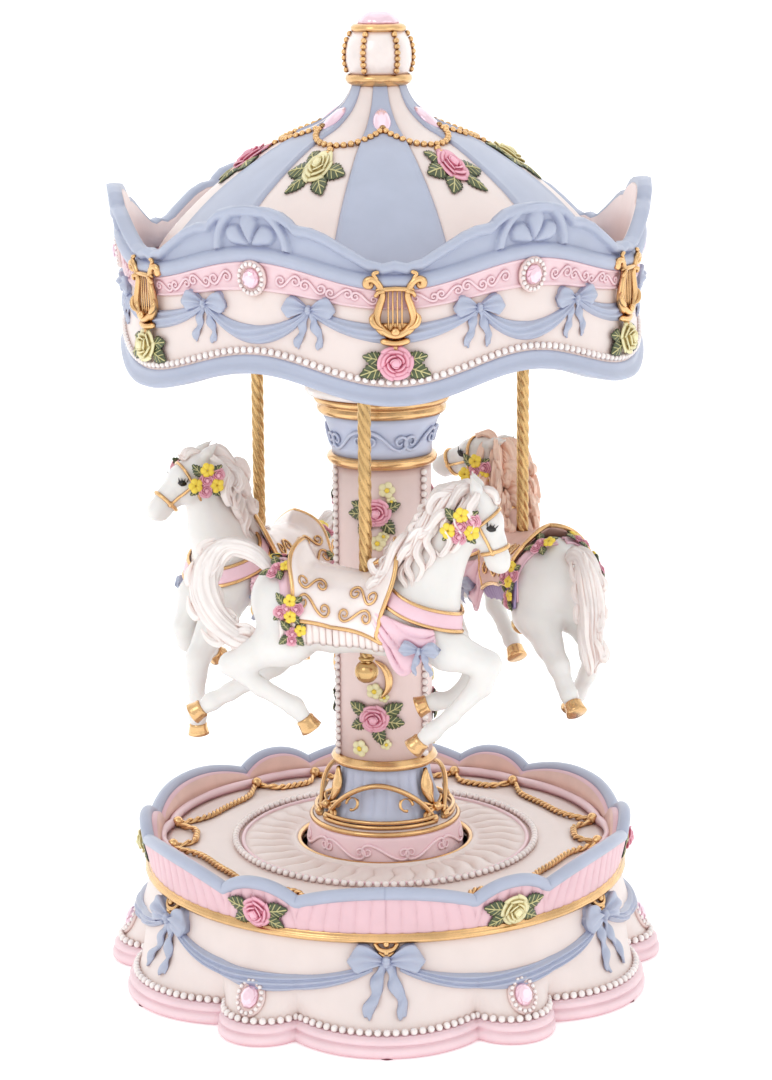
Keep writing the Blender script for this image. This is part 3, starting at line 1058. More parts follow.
def lyreParts():
    # a gilt lyre, its centre at the origin and its foot hanging below
    items = []
    for side in (-1, 1):
        arm = roundOut([(side * 0.8, 1.2, -7.6), (side * 3.4, 1.5, -6.6), (side * 4.9, 1.7, -3.6),
                        (side * 4.2, 1.7, 0.0),
                        (side * 3.3, 1.7, 3.2), (side * 4.0, 1.7, 6.0), (side * 5.6, 1.8, 7.8), (side * 7.2, 1.7, 7.6),
                        (side * 7.4, 1.6, 6.2), (side * 6.3, 1.5, 5.9), (side * 6.0, 1.5, 6.8)], 4)
        grow = np.interp(np.linspace(0, 1, len(arm)), [0, 0.15, 0.4, 0.62, 0.8, 1], [0.8, 1.25, 1.0, 1.0, 1.1, 0.55])
        items.append(tube(arm, 0.98 * grow, 10))
        leaf = roundOut([(side * 3.0, 2.6, -6.0), (side * 5.2, 2.9, -4.9), (side * 6.1, 2.6, -2.9),
                         (side * 5.4, 2.2, -1.4)], 4)
        items.append(tube(leaf, 0.85 * np.sin(np.linspace(0.25, 3.0, len(leaf))), 8))
        curl = roundOut([(side * 3.0, 2.2, 4.6), (side * 4.4, 2.8, 4.4), (side * 5.0, 2.4, 3.4)], 3)
        items.append(tube(curl, 0.6, 7))
        tuft = roundOut([(side * 4.8, 1.9, 8.0), (side * 5.6, 1.8, 9.4), (side * 4.6, 1.7, 9.8)], 3)
        items.append(tube(tuft, 0.6, 7))
    for x in (-1.8, -0.6, 0.6, 1.8):
        items.append(tube([(x, 1.5, -5.8), (x, 1.6, 0), (x, 1.5, 5.0)], 0.27, 6))
    items.append(tube([(-4.4, 1.9, 5.0), (0, 2.1, 5.3), (4.4, 1.9, 5.0)], 0.72, 8))
    items.append(tube(roundOut([(-4.2, 1.6, -5.0), (-2.4, 2.0, -6.9), (0, 2.2, -7.7), (2.4, 2.0, -6.9),
                                (4.2, 1.6, -5.0)], 4), 1.0, 9))
    foot = roundOut([(-3.0, 1.2, -9.4), (0, 1.7, -9.9), (3.0, 1.2, -9.4)], 4)
    items.append(tube(foot, 1.0, 9))
    items.append(tube([(0, 1.3, -9.4), (0, 1.4, -11.6), (0, 1.1, -14.2)], [0.85, 0.7, 0.5], 8))
    items.append((fineVerts * np.array((1.1, 0.9, 1.1)) + np.array((0, 2.9, -6.6)), fineFaces))
    plate = np.stack([np.array([[x, 0.9, z] for x in np.linspace(-w, w, 5)])
                      for z, w in ((-8.6, 2.2), (-7.2, 3.8), (-5.2, 4.2), (-4.4, 3.6))])
    items.append(thickSheet(plate, 1.2))
    return items


def buildCanopyOrnaments():
    c = canopyValues
    lyres, bows, swags = newBag(), newBag(), newBag()
    for k in range(6):
        for part, faces in lyreParts():
            addTo(lyres, layOn(canopyWall, part, canopyTwist + 60 * k, c["lyreHeight"], lift=0.3), faces)
    makePiece("gildedLyres", lyres, "rotor", "gold", ("lyre_mounts",))
    for k in range(6):
        for side in (-1, 1):
            az = canopyTwist + 60 * k + side * c["bowShift"]
            for part, faces in bowParts(c["bowWidth"]):
                addTo(bows, layOn(canopyWall, part, az, c["bowHeight"], lift=-0.3), faces)
    makePiece("canopyBows", bows, "rotor", "blue")

    def folds(across, along):
        waves = np.cos(2 * np.pi * (2.6 * across + 0.4 * np.sin(2 * np.pi * along)))
        return 1.15 * np.sin(np.pi * across) ** 0.55 + 0.3 * waves * np.sin(np.pi * along) ** 0.3 + 0.12

    for k in range(12):
        middle = canopyTwist + 30 * k
        half, bottom = (12.4, 203.2) if k % 2 else (17.6, 204.4)

        def sag(a, m=middle, h=half):
            return 1 - np.abs((a - m) / h) ** 2.2

        def low(a, b=bottom):
            return 212.2 - (212.2 - b) * sag(a)

        def high(a, b=bottom):
            return 214.2 - (214.2 - b - 5.2) * sag(a)

        az = np.linspace(middle - half * 0.97, middle + half * 0.97, 60)
        addTo(swags, *bandOn(canopyWall, az, low, high, folds, cols=17))
    makePiece("canopySwags", swags, "rotor", "blue")
    bags = newBags("leaf", "vein", "pink", "yellow", "setting", "pearl", "gem")
    for k in range(6):
        sprig(bags, canopyWall, canopyTwist + 60 * k, c["roseHeight"], 25 * k, c["roseSize"],
              ((200, 7.4), (-20, 7.4), (168, 6.2), (12, 6.2)), "yellow" if k % 2 else "pink", lift=1.0)
        addMedallion(bags, canopyWall, canopyTwist + 30 + 60 * k, c["gemHeight"], c["gemSize"], lift=1.1)
    makeRoses("canopy", bags, "rotor")
    makePiece("canopySettings", bags["setting"], "rotor", "blush")
    makePiece("canopyGemPearls", bags["pearl"], "rotor", "pearl")
    makePiece("canopyGems", bags["gem"], "rotor", "gem", ("cornice_gems",), smooth=False)


# the tent roof: twelve gores, bead swags, cabochons and roses
roofLine = ((73.6, 213.0), (70.0, 216.5), (66.5, 219.5), (64.3, 223.5), (57.4, 231.5), (47.4, 240.6), (33.5, 250.0),
            (24.5, 254.6),
            (17.6, 257.6), (12.0, 261.8), (9.2, 265.6), (7.7, 269.4))


def roofSurface(azimuth, radius, out=0.0):
    heights = np.interp(-np.asarray(radius, float), [-r for r, _ in roofLine], [z for _, z in roofLine])
    return polar(azimuth, radius, heights + out)


def roofWall(azimuth, height, out=0.0):
    z = np.asarray(height, float)
    r = np.interp(z, [p[1] for p in roofLine], [p[0] for p in roofLine])
    slope = np.interp(z, [213, 231, 245, 258, 269], [0.6, 0.78, 0.9, 0.85, 0.4])
    return polar(azimuth, r + out * np.cos(slope), z + out * np.sin(slope))


roofValues = {"gore": 15.1, "blueLift": 0.75, "bead": 1.02, "beadPitch": 2.1, "beadTop": 19.6, "beadDrop": 9.2,
              "stoneAt": 259.6, "roseAt": 247.4, "roseSize": 3.6}


def buildRoof():
    v = roofValues
    line = np.array(roundOut([np.array((r, z)) for r, z in roofLine], 3))
    for colour, start, name in (("blue", 0, "blueGores"), ("cream", 30, "creamGores")):
        bag = newBag()
        for k in range(6):
            middle = canopyTwist + start + 60 * k
            az = np.linspace(middle - v["gore"], middle + v["gore"], 25)
            across = np.abs(az - middle) / v["gore"]
            if colour == "blue":
                lift = (v["blueLift"] * np.clip((1 - across) / 0.05, 0, 1) ** 0.5
                        + 0.45 * np.exp(-((across - 0.90) / 0.05) ** 2))
            else:
                lift = 0.5 * (1 - across ** 2)
            grid = np.stack([polar(az, r, z + 0.15 + lift) for r, z in line])
            inner = np.stack([polar(az, max(r - 1.8, 4), np.full(25, z - 1.6)) for r, z in line])
            addTo(bag, *twoSided(grid, inner))
        makePiece(name, bag, "rotor", colour, ("roof_shell",) if colour == "blue" else ())
    stones, beads = newBag(), newBag()
    for k in range(6):
        middle = canopyTwist + 60 * k
        stone = fineVerts * np.array((2.5, 1.5, 3.1))
        addTo(stones, layOn(roofWall, stone, middle, v["stoneAt"], lift=0.5), fineFaces)
        u = np.linspace(0, 1, 60)
        string = roofSurface(middle + 60 * u, v["beadTop"] + v["beadDrop"] * np.sin(np.pi * u) ** 0.8, 1.2)
        addBalls(beads, evenly(string, v["beadPitch"], closed=False), v["bead"])
        addBalls(beads, roofSurface(np.full(2, middle + 30), np.array([30.6, 32.4]), 1.0), [1.1, 0.9])
    makePiece("roofStones", stones, "rotor", "gem", ("roof_gems",))
    makePiece("roofBeads", beads, "rotor", "gold")
    bags = newBags("leaf", "vein", "pink", "yellow")
    for k in range(6):
        sprig(bags, roofWall, canopyTwist - 30 + 60 * k, v["roseAt"], 30 * k, v["roseSize"],
              ((190, 6.4), (-10, 6.4), (235, 5.8), (-55, 5.8), (150, 5.0)), "pink" if k % 2 else "yellow", lift=0.6)
    makeRoses("roof", bags, "rotor")


finialValues = {"bead": 0.92, "beadPitch": 1.72, "petal": 0.05}


def domePetals(azimuth, radius, height):
    return radius * (1 + finialValues["petal"] * np.abs(np.cos(np.radians(azimuth) * 4)) * (height < 289))


def buildFinial():
    v = finialValues
    globe = [(4, 271.6), (8.0, 271.6), (9.0, 273.2), (9.7, 276.0), (9.7, 279.0), (9.1, 282.0), (7.6, 284.8), (4, 284.8)]
    makePiece("finialBarrel", turnedBag(120, globe), "rotor", "nacre", ("finial_globe",))
    bag = turnedBag(120, [(4, 268.8), (7.9, 268.9), (9.3, 269.8), (9.9, 270.9), (9.7, 271.9), (8.9, 272.5), (4, 272.5)],
                    [(4, 284.2), (7.4, 284.3), (8.1, 285.0), (8.2, 285.9), (7.5, 286.6), (6.4, 286.9), (4, 286.9)])
    for k in range(6):
        z = np.arange(273.6, 284.0, v["beadPitch"])
        r = np.interp(z, [p[1] for p in globe[1:-1]], [p[0] for p in globe[1:-1]]) + 0.35
        addBalls(bag, polar(-27 + 60 * k, r, z), v["bead"])
    makePiece("finialRings", bag, "rotor", "gold", ("finial_rings",))
    dome = [(3, 286.6), (5.9, 286.6), (5.8, 287.8), (5.1, 289.0), (3.7, 290.0), (1.8, 290.5), (0.2, 290.6)]
    bag = newBag()
    addTo(bag, *turnedPart(dome, 96, domePetals))
    makePiece("finialDome", bag, "rotor", "gem", ("finial_dome",))


for build in (buildCanopyWall, buildCrest, buildCanopyOrnaments, buildRoof, buildFinial):
    build()
print("canopy and roof built")


# horses: a body cast from rounded limbs, then hooves, hair, saddle and trimmings
horseSets = {
    "front": {"turn": 0, "ground": 103.2, "posy": (-8.4, 0, 1.4),
              "pitch": ((-22, 22.0), (-9, 18.4), (6, 17.8), (16, 21.4)), "cantle": 6.0,
              "poll": (33.0, 0, 50.4), "nose": (39.6, 0, 32.0),
              "mane": "mane", "cloth": "nacre", "fringe": "nacre",
              "neck": ((16, 0, 23, 10.4), (19.5, 0, 32, 8.0), (24.6, 0, 41, 6.2), (30, 0, 48, 5.2)),
              "legs": (((14, -4, 18, 8.2), (24, -6, 9.6, 6.0), (35.4, -6.4, 5.4, 3.9), (33.6, -6.2, -0.8, 3.2),
                        (25, -5.8, -10.2, 2.2),
                        (19.4, -5.6, -15.2, 2.5), (16.6, -5.5, -17.6, 2.2)),
                       ((15, 4, 18, 8.2), (22, 6, 10, 6.0), (31, 6.4, 2.6, 3.4), (30, 6.2, -3, 2.9), (24, 6, -8.6, 2.2),
                        (20, 5.8, -9.2, 2.5), (17.4, 5.6, -9.8, 2.2)),
                       ((-19, -4, 20, 10.2), (-23, -6, 12, 8.0), (-32, -6.4, 7, 4.4), (-38.6, -6.4, 4.2, 3.3),
                        (-30, -6.2, -2.6, 2.5),
                        (-20.5, -5.8, -8.2, 2.6), (-17.8, -5.6, -11.6, 2.2)),
                       ((-19, 4, 20, 10.0), (-21.5, 6, 10, 7.4), (-28, 6.2, 2, 4.2), (-33.6, 6.4, -3.0, 3.2),
                        (-41, 6, -7.6, 2.4),
                        (-46.4, 5.8, -10.6, 2.5), (-49, 5.6, -12.4, 2.2))),
              "hooves": (((16.6, -5.5, -17.6), (13.6, -5.4, -20.6)), ((17.4, 5.6, -9.8), (14.0, 5.4, -11.2)),
                         ((-17.8, -5.6, -11.6), (-15.4, -5.4, -15.2)), ((-49, 5.6, -12.4), (-52.4, 5.4, -14.6))),
              "tail": ((-26, 0, 29), (-32, 0, 35.5), (-40, -0.5, 37.5), (-45.6, -1, 33), (-47.4, -2, 25),
                       (-44.5, -3, 17), (-38, -4.2, 11.5), (-31, -5.5, 9.5))},
    "left": {"turn": 240, "ground": 103.2, "posy": (-7.6, 0, 1.0),
             "pitch": ((-22, 12.5), (-9, 13.0), (6, 15.4), (16, 19.8)), "cantle": 4.5,
             "poll": (30.0, -1.0, 51.4), "nose": (41.6, -8.2, 38.0),
             "mane": "mane", "cloth": "nacre", "fringe": "nacre",
             "neck": ((17, 0, 21, 10.6), (22, -0.2, 31, 8.2), (25, -0.6, 41, 6.4), (28.0, -0.9, 48, 5.3)),
             "legs": (((16, -4, 17, 8.4), (24, -6, 9, 6.2), (30, -6.2, 1, 3.6), (29, -6.2, -4, 3.0),
                       (23, -6, -7.6, 2.3),
                       (19.5, -5.8, -8.6, 2.5), (17.6, -5.6, -9.4, 2.2)),
                      ((16, 4, 16, 8.2), (27, 5, 6, 5.8), (36.2, 4, -6, 3.6), (37, 3.8, -11, 3.0),
                       (36.8, 3.6, -19, 2.3),
                       (36.6, 3.5, -24.4, 2.6), (36.5, 3.5, -26.6, 2.3)),
                      ((-20, -4, 10, 10.0), (-24, -6, 3, 7.6), (-31, -6.4, -2, 4.4), (-36, -6.4, -6, 3.3),
                       (-33.4, -6.2, -11.6, 2.5),
                       (-30.6, -6, -15, 2.6), (-29, -5.8, -18, 2.2)),
                      ((-20, 4, 10, 9.8), (-23, 6, 2, 7.2), (-30, 6.2, -4, 4.2), (-35.4, 6.2, -8.4, 3.2),
                       (-39.6, 6, -12.6, 2.4),
                       (-42.4, 5.8, -15, 2.5), (-44.4, 5.6, -17, 2.2))),
             "hooves": (((17.6, -5.6, -9.4), (15, -5.4, -11.8)), ((36.5, 3.5, -26.6), (36.2, 3.5, -30.4)),
                        ((-29, -5.8, -18), (-27, -5.6, -21.6)), ((-44.4, 5.6, -17), (-47.4, 5.4, -19.6))),
             "tail": ((-28, 0, 17), (-33, 0, 22), (-39, -0.5, 23), (-43.6, -1, 18), (-44.4, -1.5, 10), (-42.6, -2, 2),
                      (-43.5, -2.5, -5))},
    "right": {"turn": 120, "ground": 101.0, "posy": (-9.5, 0, -4.0),
              "pitch": ((-22, 20.5), (-9, 17.0), (6, 16.8), (16, 20.6)), "cantle": 2.5,
              "poll": (27.8, -1.0, 50.6), "nose": (43.0, 9.2, 43.4),
              "mane": "peachMane", "cloth": "peach", "fringe": "violet",
              "neck": ((16, 0, 22, 10.4), (20, -0.4, 32, 8.2), (24, -0.8, 41, 6.4), (28, -1.0, 47.6, 5.2)),
              "legs": (((15, -4, 18, 8.4), (24, -6, 12, 6.6), (32.4, -6.2, 4, 3.5), (31.4, -6.2, -1.8, 3.0),
                        (23.6, -6, -7.6, 2.3),
                        (19, -5.8, -10.4, 2.5), (16.8, -5.6, -12, 2.2)),
                       ((15, 4, 18, 8.2), (26, 6, 10, 6.2), (37.6, 6.2, 2.6, 3.5), (37.6, 6.2, -2.4, 3.0),
                        (35, 6, -7.4, 2.3),
                        (33, 5.8, -10.2, 2.5), (31.8, 5.6, -12.4, 2.2)),
                       ((-19, -4, 18, 10.2), (-23, -6, 10, 8.0), (-31, -6.4, 4, 4.4), (-36, -6.4, -1, 3.3),
                        (-31.4, -6.2, -9.6, 2.5),
                        (-26, -6, -16.4, 2.6), (-24, -5.8, -19, 2.2)),
                       ((-19, 4, 18, 10.0), (-22, 6, 9, 7.6), (-30, 6.2, 1, 4.2), (-36.4, 6.2, -4, 3.2),
                        (-40, 6, -9, 2.4),
                        (-42.4, 5.8, -11.6, 2.5), (-44, 5.6, -13.4, 2.2))),
              "hooves": (((16.8, -5.6, -12), (14, -5.4, -15)), ((31.8, 5.6, -12.4), (30, 5.4, -16)),
                         ((-24, -5.8, -19), (-22, -5.6, -22.8)), ((-44, 5.6, -13.4), (-47, 5.4, -16.4))),
              "tail": ((-29, 0, 25), (-34, 0, 29), (-39.5, -0.5, 28.5), (-42.5, -1, 22), (-42.6, -1.5, 14),
                       (-40.6, -2, 6), (-41, -2.5, -2))},
}
horseValues = {"girth": (11.4, 10.6, 10.6, 10.6), "castStep": 0.75, "neckLocks": 30, "sideLocks": 16, "browLocks": 5,
               "pollLocks": 10, "tailLocks": 15, "tailCurls": 14, "strapReach": 104, "strapAt": 16.5,
               "drapeDepth": 15.5,
               "drapeBow": 11.5, "edgeBar": 0.72}


def placeHorse(verts, setting):
    a = math.radians(panelTurn + setting["turn"])
    v = np.asarray(verts, float).reshape(-1, 3)
    c, s = math.cos(a), math.sin(a)
    return np.stack([poleCircle * s + v[:, 0] * c - v[:, 1] * s, -poleCircle * c + v[:, 0] * s + v[:, 1] * c,
                     setting["ground"] + v[:, 2]], -1)


def chain(run, blend, wide=1.0):
    return [(np.array(a[:3], float), np.array(b[:3], float), a[3], b[3], blend, wide) for a, b in zip(run, run[1:])]


def roundField(points, limbs):
    # signed distance to limbs that melt into each other
    total = np.full(len(points), 1e3)
    for a, b, r0, r1, blend, wide in limbs:
        line = b - a
        t = np.clip((points - a) @ line / max(line @ line, 1e-6), 0, 1)
        gap = points - a - t[:, None] * line
        gap[:, 1] /= wide
        d = np.sqrt((gap ** 2).sum(1)) - (r0 + (r1 - r0) * t)
        h = np.clip(0.5 + 0.5 * (total - d) / blend, 0, 1)
        total = total * (1 - h) + d * h - blend * h * (1 - h)
    return total


def surfaceNet(field, low, high, step):
    # one vertex in each cell that the surface crosses, and a face round each crossed edge
    low, high = np.array(low, float), np.array(high, float)
    size = np.ceil((high - low) / step).astype(int) + 1
    axes = [low[k] + step * np.arange(size[k]) for k in range(3)]
    values = np.empty(tuple(size))
    plane = np.stack(np.meshgrid(axes[1], axes[2], indexing="ij"), -1).reshape(-1, 2)
    for i, x in enumerate(axes[0]):
        values[i] = field(np.column_stack([np.full(len(plane), x), plane])).reshape(size[1], size[2])
    cells = tuple(size - 1)
    total, hits = np.zeros(cells + (3,)), np.zeros(cells)
    for axis in range(3):
        others = [k for k in range(3) if k != axis]
        for p in (0, 1):
            for q in (0, 1):
                start = [0, 0, 0]
                start[others[0]], start[others[1]] = p, q
                a = values[tuple(slice(start[k], start[k] + cells[k]) for k in range(3))]
                start[axis] = 1
                b = values[tuple(slice(start[k], start[k] + cells[k]) for k in range(3))]
                cross = (a < 0) != (b < 0)
                t = np.where(cross, a / np.where(cross, a - b, 1), 0)
                hits += cross
                total[..., axis] += np.where(cross, t, 0)
                total[..., others[0]] += cross * p
                total[..., others[1]] += cross * q
    used = hits > 0
    index = np.full(cells, -1)
    index[used] = np.arange(used.sum())
    verts = low + step * (np.argwhere(used) + total[used] / hits[used][:, None])
    inside, faces = values < 0, []
    for axis in range(3):
        p, q = [k for k in range(3) if k != axis]
        lowSlice, highSlice = [slice(None)] * 3, [slice(None)] * 3
        lowSlice[axis], highSlice[axis] = slice(0, -1), slice(1, None)
        spots = np.argwhere(inside[tuple(lowSlice)] != inside[tuple(highSlice)])
        spots = spots[(spots[:, p] > 0) & (spots[:, q] > 0) & (spots[:, p] < size[p] - 1) & (spots[:, q] < size[q] - 1)]
        ring = []
        for dp, dq in ((1, 1), (0, 1), (0, 0), (1, 0)):
            cell = spots.copy()
            cell[:, p] -= dp
            cell[:, q] -= dq
            ring.append(index[cell[:, 0], cell[:, 1], cell[:, 2]])
        faces.append(np.stack(ring, -1))
    return verts, np.concatenate(faces).tolist()


def castOn(field, origins, directions, reach=26.0):
    # where rays from inside first leave the field
    near, far = np.zeros(len(origins)), np.full(len(origins), reach)
    for _ in range(24):
        middle = (near + far) / 2
        inside = field(origins + directions * middle[:, None]) < 0
        near, far = np.where(inside, middle, near), np.where(inside, far, middle)
    return origins + directions * near[:, None]


def fieldNormal(field, points):
    eps = 0.15
    n = np.stack([field(points + np.eye(3)[k] * eps) - field(points - np.eye(3)[k] * eps) for k in range(3)], -1)
    return n / np.maximum(np.linalg.norm(n, axis=1, keepdims=True), 1e-9)


def headLimbs(setting):
    # skull, cheeks, face, muzzle, lips and ears, set out along the line from poll to nose
    poll, nose = np.array(setting["poll"], float), np.array(setting["nose"], float)
    along = (nose - poll) / np.linalg.norm(nose - poll)
    side = np.cross(along, (0, 0, 1.0))
    side /= np.linalg.norm(side)
    brow = np.cross(side, along)
    if brow[0] < 0:
        brow = -brow

    def at(a, b, s=0.0):
        return tuple(poll + along * a + brow * b + side * s)

    limbs = []
    limbs += chain((at(-0.5, -0.6) + (5.0,), at(5.0, 0.0) + (4.7,)), 2.4)
    for s in (-1, 1):
        limbs += chain((at(3.6, -3.2, 1.5 * s) + (3.7,), at(7.4, -3.4, 1.4 * s) + (3.3,)), 1.8)
        limbs += chain((at(4.8, 1.9, 2.6 * s) + (1.7,), at(6.6, 1.6, 2.6 * s) + (1.2,)), 1.3)
        limbs += chain((at(17.8, 0.7, 1.5 * s) + (1.1,), at(18.6, 0.5, 1.5 * s) + (1.0,)), 0.8)
        limbs += chain((at(-2.6, 0.4, 2.3 * s) + (1.7,), at(-5.4, 0.9, 2.9 * s) + (1.7,),
                        at(-9.6, 0.8, 2.7 * s) + (0.45,)), 1.0)
    limbs += chain((at(5.4, 0.3) + (4.3,), at(11.5, 0.3) + (3.1,), at(16.2, -0.1) + (2.75,), at(18.0, -0.5) + (2.6,)),
                   1.8)
    limbs += chain((at(9.0, -2.4) + (2.6,), at(15.4, -2.0) + (1.8,), at(17.2, -2.6) + (1.6,)), 1.6)
    return limbs, at


def lock(path, size, seed, ridges=5):
    # one lock of hair: a tapered, grooved, slightly twisted strand
    path = np.array(roundOut(path, 5))
    t = np.linspace(0, 1, len(path))
    thick = size * np.interp(t, [0, 0.12, 0.45, 0.8, 1], [0.55, 0.95, 1.0, 0.6, 0.16])
    sides = 20
    verts, faces = tube(path, thick, sides, flat=0.62, side=(0, 1, 0))
    rings = verts.reshape(-1, sides, 3)
    centre = rings.mean(1, keepdims=True)
    turn = np.arange(sides) * 2 * math.pi / sides
    twist = np.linspace(0, 2.2, len(rings))[:, None] + seed
    rings = centre + (rings - centre) * (1 + 0.20 * np.cos(ridges * turn[None, :] + twist))[..., None]
    return rings.reshape(-1, 3), faces


def bloom(size, petals=5):
    parts = []
    for n in range(petals):
        a = 2 * math.pi * n / petals
        parts.append((pearlVerts * np.array((0.55, 0.34, 0.55)) * size
                      + np.array((0.6 * size * math.cos(a), 0.35 * size, 0.6 * size * math.sin(a))), pearlFaces))
    return parts


def setOn(point, normal, verts, turn=0.0, lift=0.0):
    # stand an ornament on a spot: its y along the normal, its z as near upright as it goes
    up = np.array((0, 0, 1.0)) - normal * normal[2]
    up = up / np.linalg.norm(up) if np.linalg.norm(up) > 0.1 else np.array((1.0, 0, 0))
    right = np.cross(normal, up)
    v = spinAboutY(verts, turn)
    return point + v[:, :1] * right + (v[:, 1:2] + lift) * normal + v[:, 2:] * up


def buildHorse(name, setting):
    print("casting the", name, "horse")
    h, rider, draw = horseValues, f"rider_{name}", random.Random(setting["turn"] + 7)
    spineLine = np.array(setting["pitch"], float)
    trunkRun = [(f, 0, u, r) for (f, u), r in zip(setting["pitch"], h["girth"])]
    trunk = chain(trunkRun, 5.0, 0.92) + chain(setting["neck"], 4.0, 0.86)
    hips = [limb for leg in setting["legs"] for limb in chain(leg[:2], 4.0)]
    legs = [limb for leg in setting["legs"] for limb in chain(leg[1:], 1.6)]
    head, at = headLimbs(setting)
    everything = trunk + hips + legs + head

    def wholeField(p):
        return roundField(p, everything)

    def coreField(p):
        return roundField(p, trunk + hips)

    def headField(p):
        return roundField(p, head + chain(setting["neck"][-2:], 2.0, 0.86))

    ends = np.array([p for limb in everything for p in (limb[0], limb[1])])
    bag = newBag()
    verts, faces = surfaceNet(wholeField, ends.min(0) - 12, ends.max(0) + 12, h["castStep"])
    addTo(bag, placeHorse(verts, setting), faces)
    makePiece(f"horseBody_{name}", bag, rider, "white", (f"horse_{name}",))

    gold, mane, cloth, pink, blue = newBag(), newBag(), newBag(), newBag(), newBag()
    leaf, vein, yellow, rosy, eye, tail, fringe = (newBag() for _ in range(7))

    def put(bag, verts, faces):
        addTo(bag, placeHorse(verts, setting), faces)

    for top, sole in setting["hooves"]:
        top, sole = np.array(top, float), np.array(sole, float)
        line = [top + (sole - top) * t for t in (0.0, 0.12, 0.3, 0.7, 0.95, 1.0)]
        put(gold, *tube(line, [2.2, 2.75, 2.7, 3.05, 3.3, 2.9], 18, ends=False))

    # hair: locks from the crest of the neck, over the brow, and down the tail
    crest = np.array(roundOut([at(-4.5, 0.6), at(-3.5, -4.2), np.array(setting["neck"][2][:3]) + (-6.2, 0, 3.6),
                               np.array(setting["neck"][1][:3]) + (-7.0, 0, 4.4),
                               np.array(setting["neck"][0][:3]) + (-7.2, 0, 8.0)], 8))
    for k in range(h["neckLocks"]):
        t = k / (h["neckLocks"] - 1)
        root = crest[int(t * (len(crest) - 1))]
        side = -1 if k % 3 else 1
        reach = 13.5 - 3.5 * t + draw.uniform(-1.5, 1.5)
        drop = 9.0 + 4.0 * math.sin(math.pi * t) + draw.uniform(-2, 2)
        wave = draw.uniform(1.4, 2.6) * (1 if k % 2 else -1)
        out = side * draw.uniform(3.0, 6.5)
        path = [root, root + (-0.26 * reach, out * 0.55, -0.02 * drop + 1.2),
                root + (-0.50 * reach, out * 0.95, -0.34 * drop + wave * 0.6),
                root + (-0.70 * reach, out * 1.1, -0.66 * drop - wave * 0.5),
                root + (-0.98 * reach, out * 1.05, -0.92 * drop + wave * 0.5),
                root + (-1.12 * reach, out * 0.9, -0.78 * drop + wave), root + (-1.0 * reach, out * 0.85,
                                                                                -0.62 * drop + wave * 0.8)]
        put(mane, *lock(path, draw.uniform(1.5, 2.2), draw.uniform(0, 6)))
    for k in range(h["sideLocks"]):
        t = k / (h["sideLocks"] - 1)
        root = crest[int(t * 0.8 * (len(crest) - 1))]
        side = -1 if k % 2 else 1
        drop = draw.uniform(9, 14)
        path = [root + (0.5, 0, 0), root + (0.6, side * 4.2, -1.0), root + (-1.2, side * 6.6, -0.34 * drop),
                root + (0.6, side * 7.2, -0.66 * drop), root + (-2.2, side * 6.9, -drop),
                root + (-3.8, side * 6.6, -0.9 * drop)]
        put(mane, *lock(path, draw.uniform(1.3, 1.9), draw.uniform(0, 6)))
    for k in range(h["browLocks"]):
        s = (k - 2) * 0.7
        path = [at(-4.2, 0.4, s * 0.5), at(-3.6, 3.4, s), at(-1.8, 4.9, s * 1.2), at(0.2 + 0.4 * (k % 2), 4.9, s * 1.4),
                at(0.4, 5.9, s * 1.6)]
        put(mane, *lock(path, 0.95, draw.uniform(0, 6)))
    for k in range(h["pollLocks"]):
        side, s, drop = (-1 if k % 2 else 1), 0.8 + 0.3 * k, 1.1 * (k // 2)
        path = [at(-3.4, -1.6 - drop, side * 0.6), at(-6.2, -2.8 - drop, side * s),
                at(-7.4, -5.6 - drop, side * (s + 0.9)),
                at(-5.8, -8.4 - drop, side * (s + 1.8)), at(-3.6, -8.8 - drop, side * (s + 2.2)),
                at(-3.4, -7.0 - drop, side * (s + 2.4))]
        put(mane, *lock(path, 1.45, draw.uniform(0, 6)))
    spine = np.array(setting["tail"], float)
    for k in range(h["tailLocks"]):
        a = 2 * math.pi * k / h["tailLocks"]
        spread = 1.1 if k < 5 else 2.6
        path = [p + spread * min(1.0, 0.35 * i) * np.array((math.cos(a + 0.5 * i), 0.9 * math.sin(a + 0.5 * i),
                                                            0.5 * math.sin(a * 2))) for i, p in enumerate(spine)]
        path.append(path[-1] + np.array((3.0 * math.cos(a), 1.6 * math.sin(a), -1.4 + 2.2 * math.sin(a * 3))))
        path.append(path[-1] + np.array((-1.6 * math.sin(a), 0.5, 2.2 * math.cos(a))))
        put(tail, *lock(path, draw.uniform(1.6, 2.3), draw.uniform(0, 6)))
    for k in range(h["tailCurls"]):
        i = 2 + k % (len(spine) - 3)
        a, root = 2 * math.pi * k / h["tailCurls"], spine[i]
        flick = np.array((math.cos(a), 0.7 * math.sin(a + 1), math.sin(a)))
        ahead = (spine[i + 1] - root) * 0.9
        path = [root, root + 2.6 * flick + ahead * 0.5, root + 3.6 * flick + ahead, root + 4.8 * flick + ahead * 0.7,
                root + 4.2 * flick + ahead * 0.2]
        put(tail, *lock(path, 1.5, draw.uniform(0, 6)))

    # saddle, its fringe and its gilt edge, laid over the back
    def back(f, theta, lift):
        f, theta = np.asarray(f, float).ravel(), np.radians(np.asarray(theta, float).ravel())
        origin = np.stack([f, 0 * f, np.interp(f, spineLine[:, 0], spineLine[:, 1])], -1)
        heading = np.stack([0 * f, -np.sin(theta), np.cos(theta)], -1)
        spot = castOn(coreField, origin, heading)
        return spot + heading * np.asarray(lift, float).reshape(-1, 1)

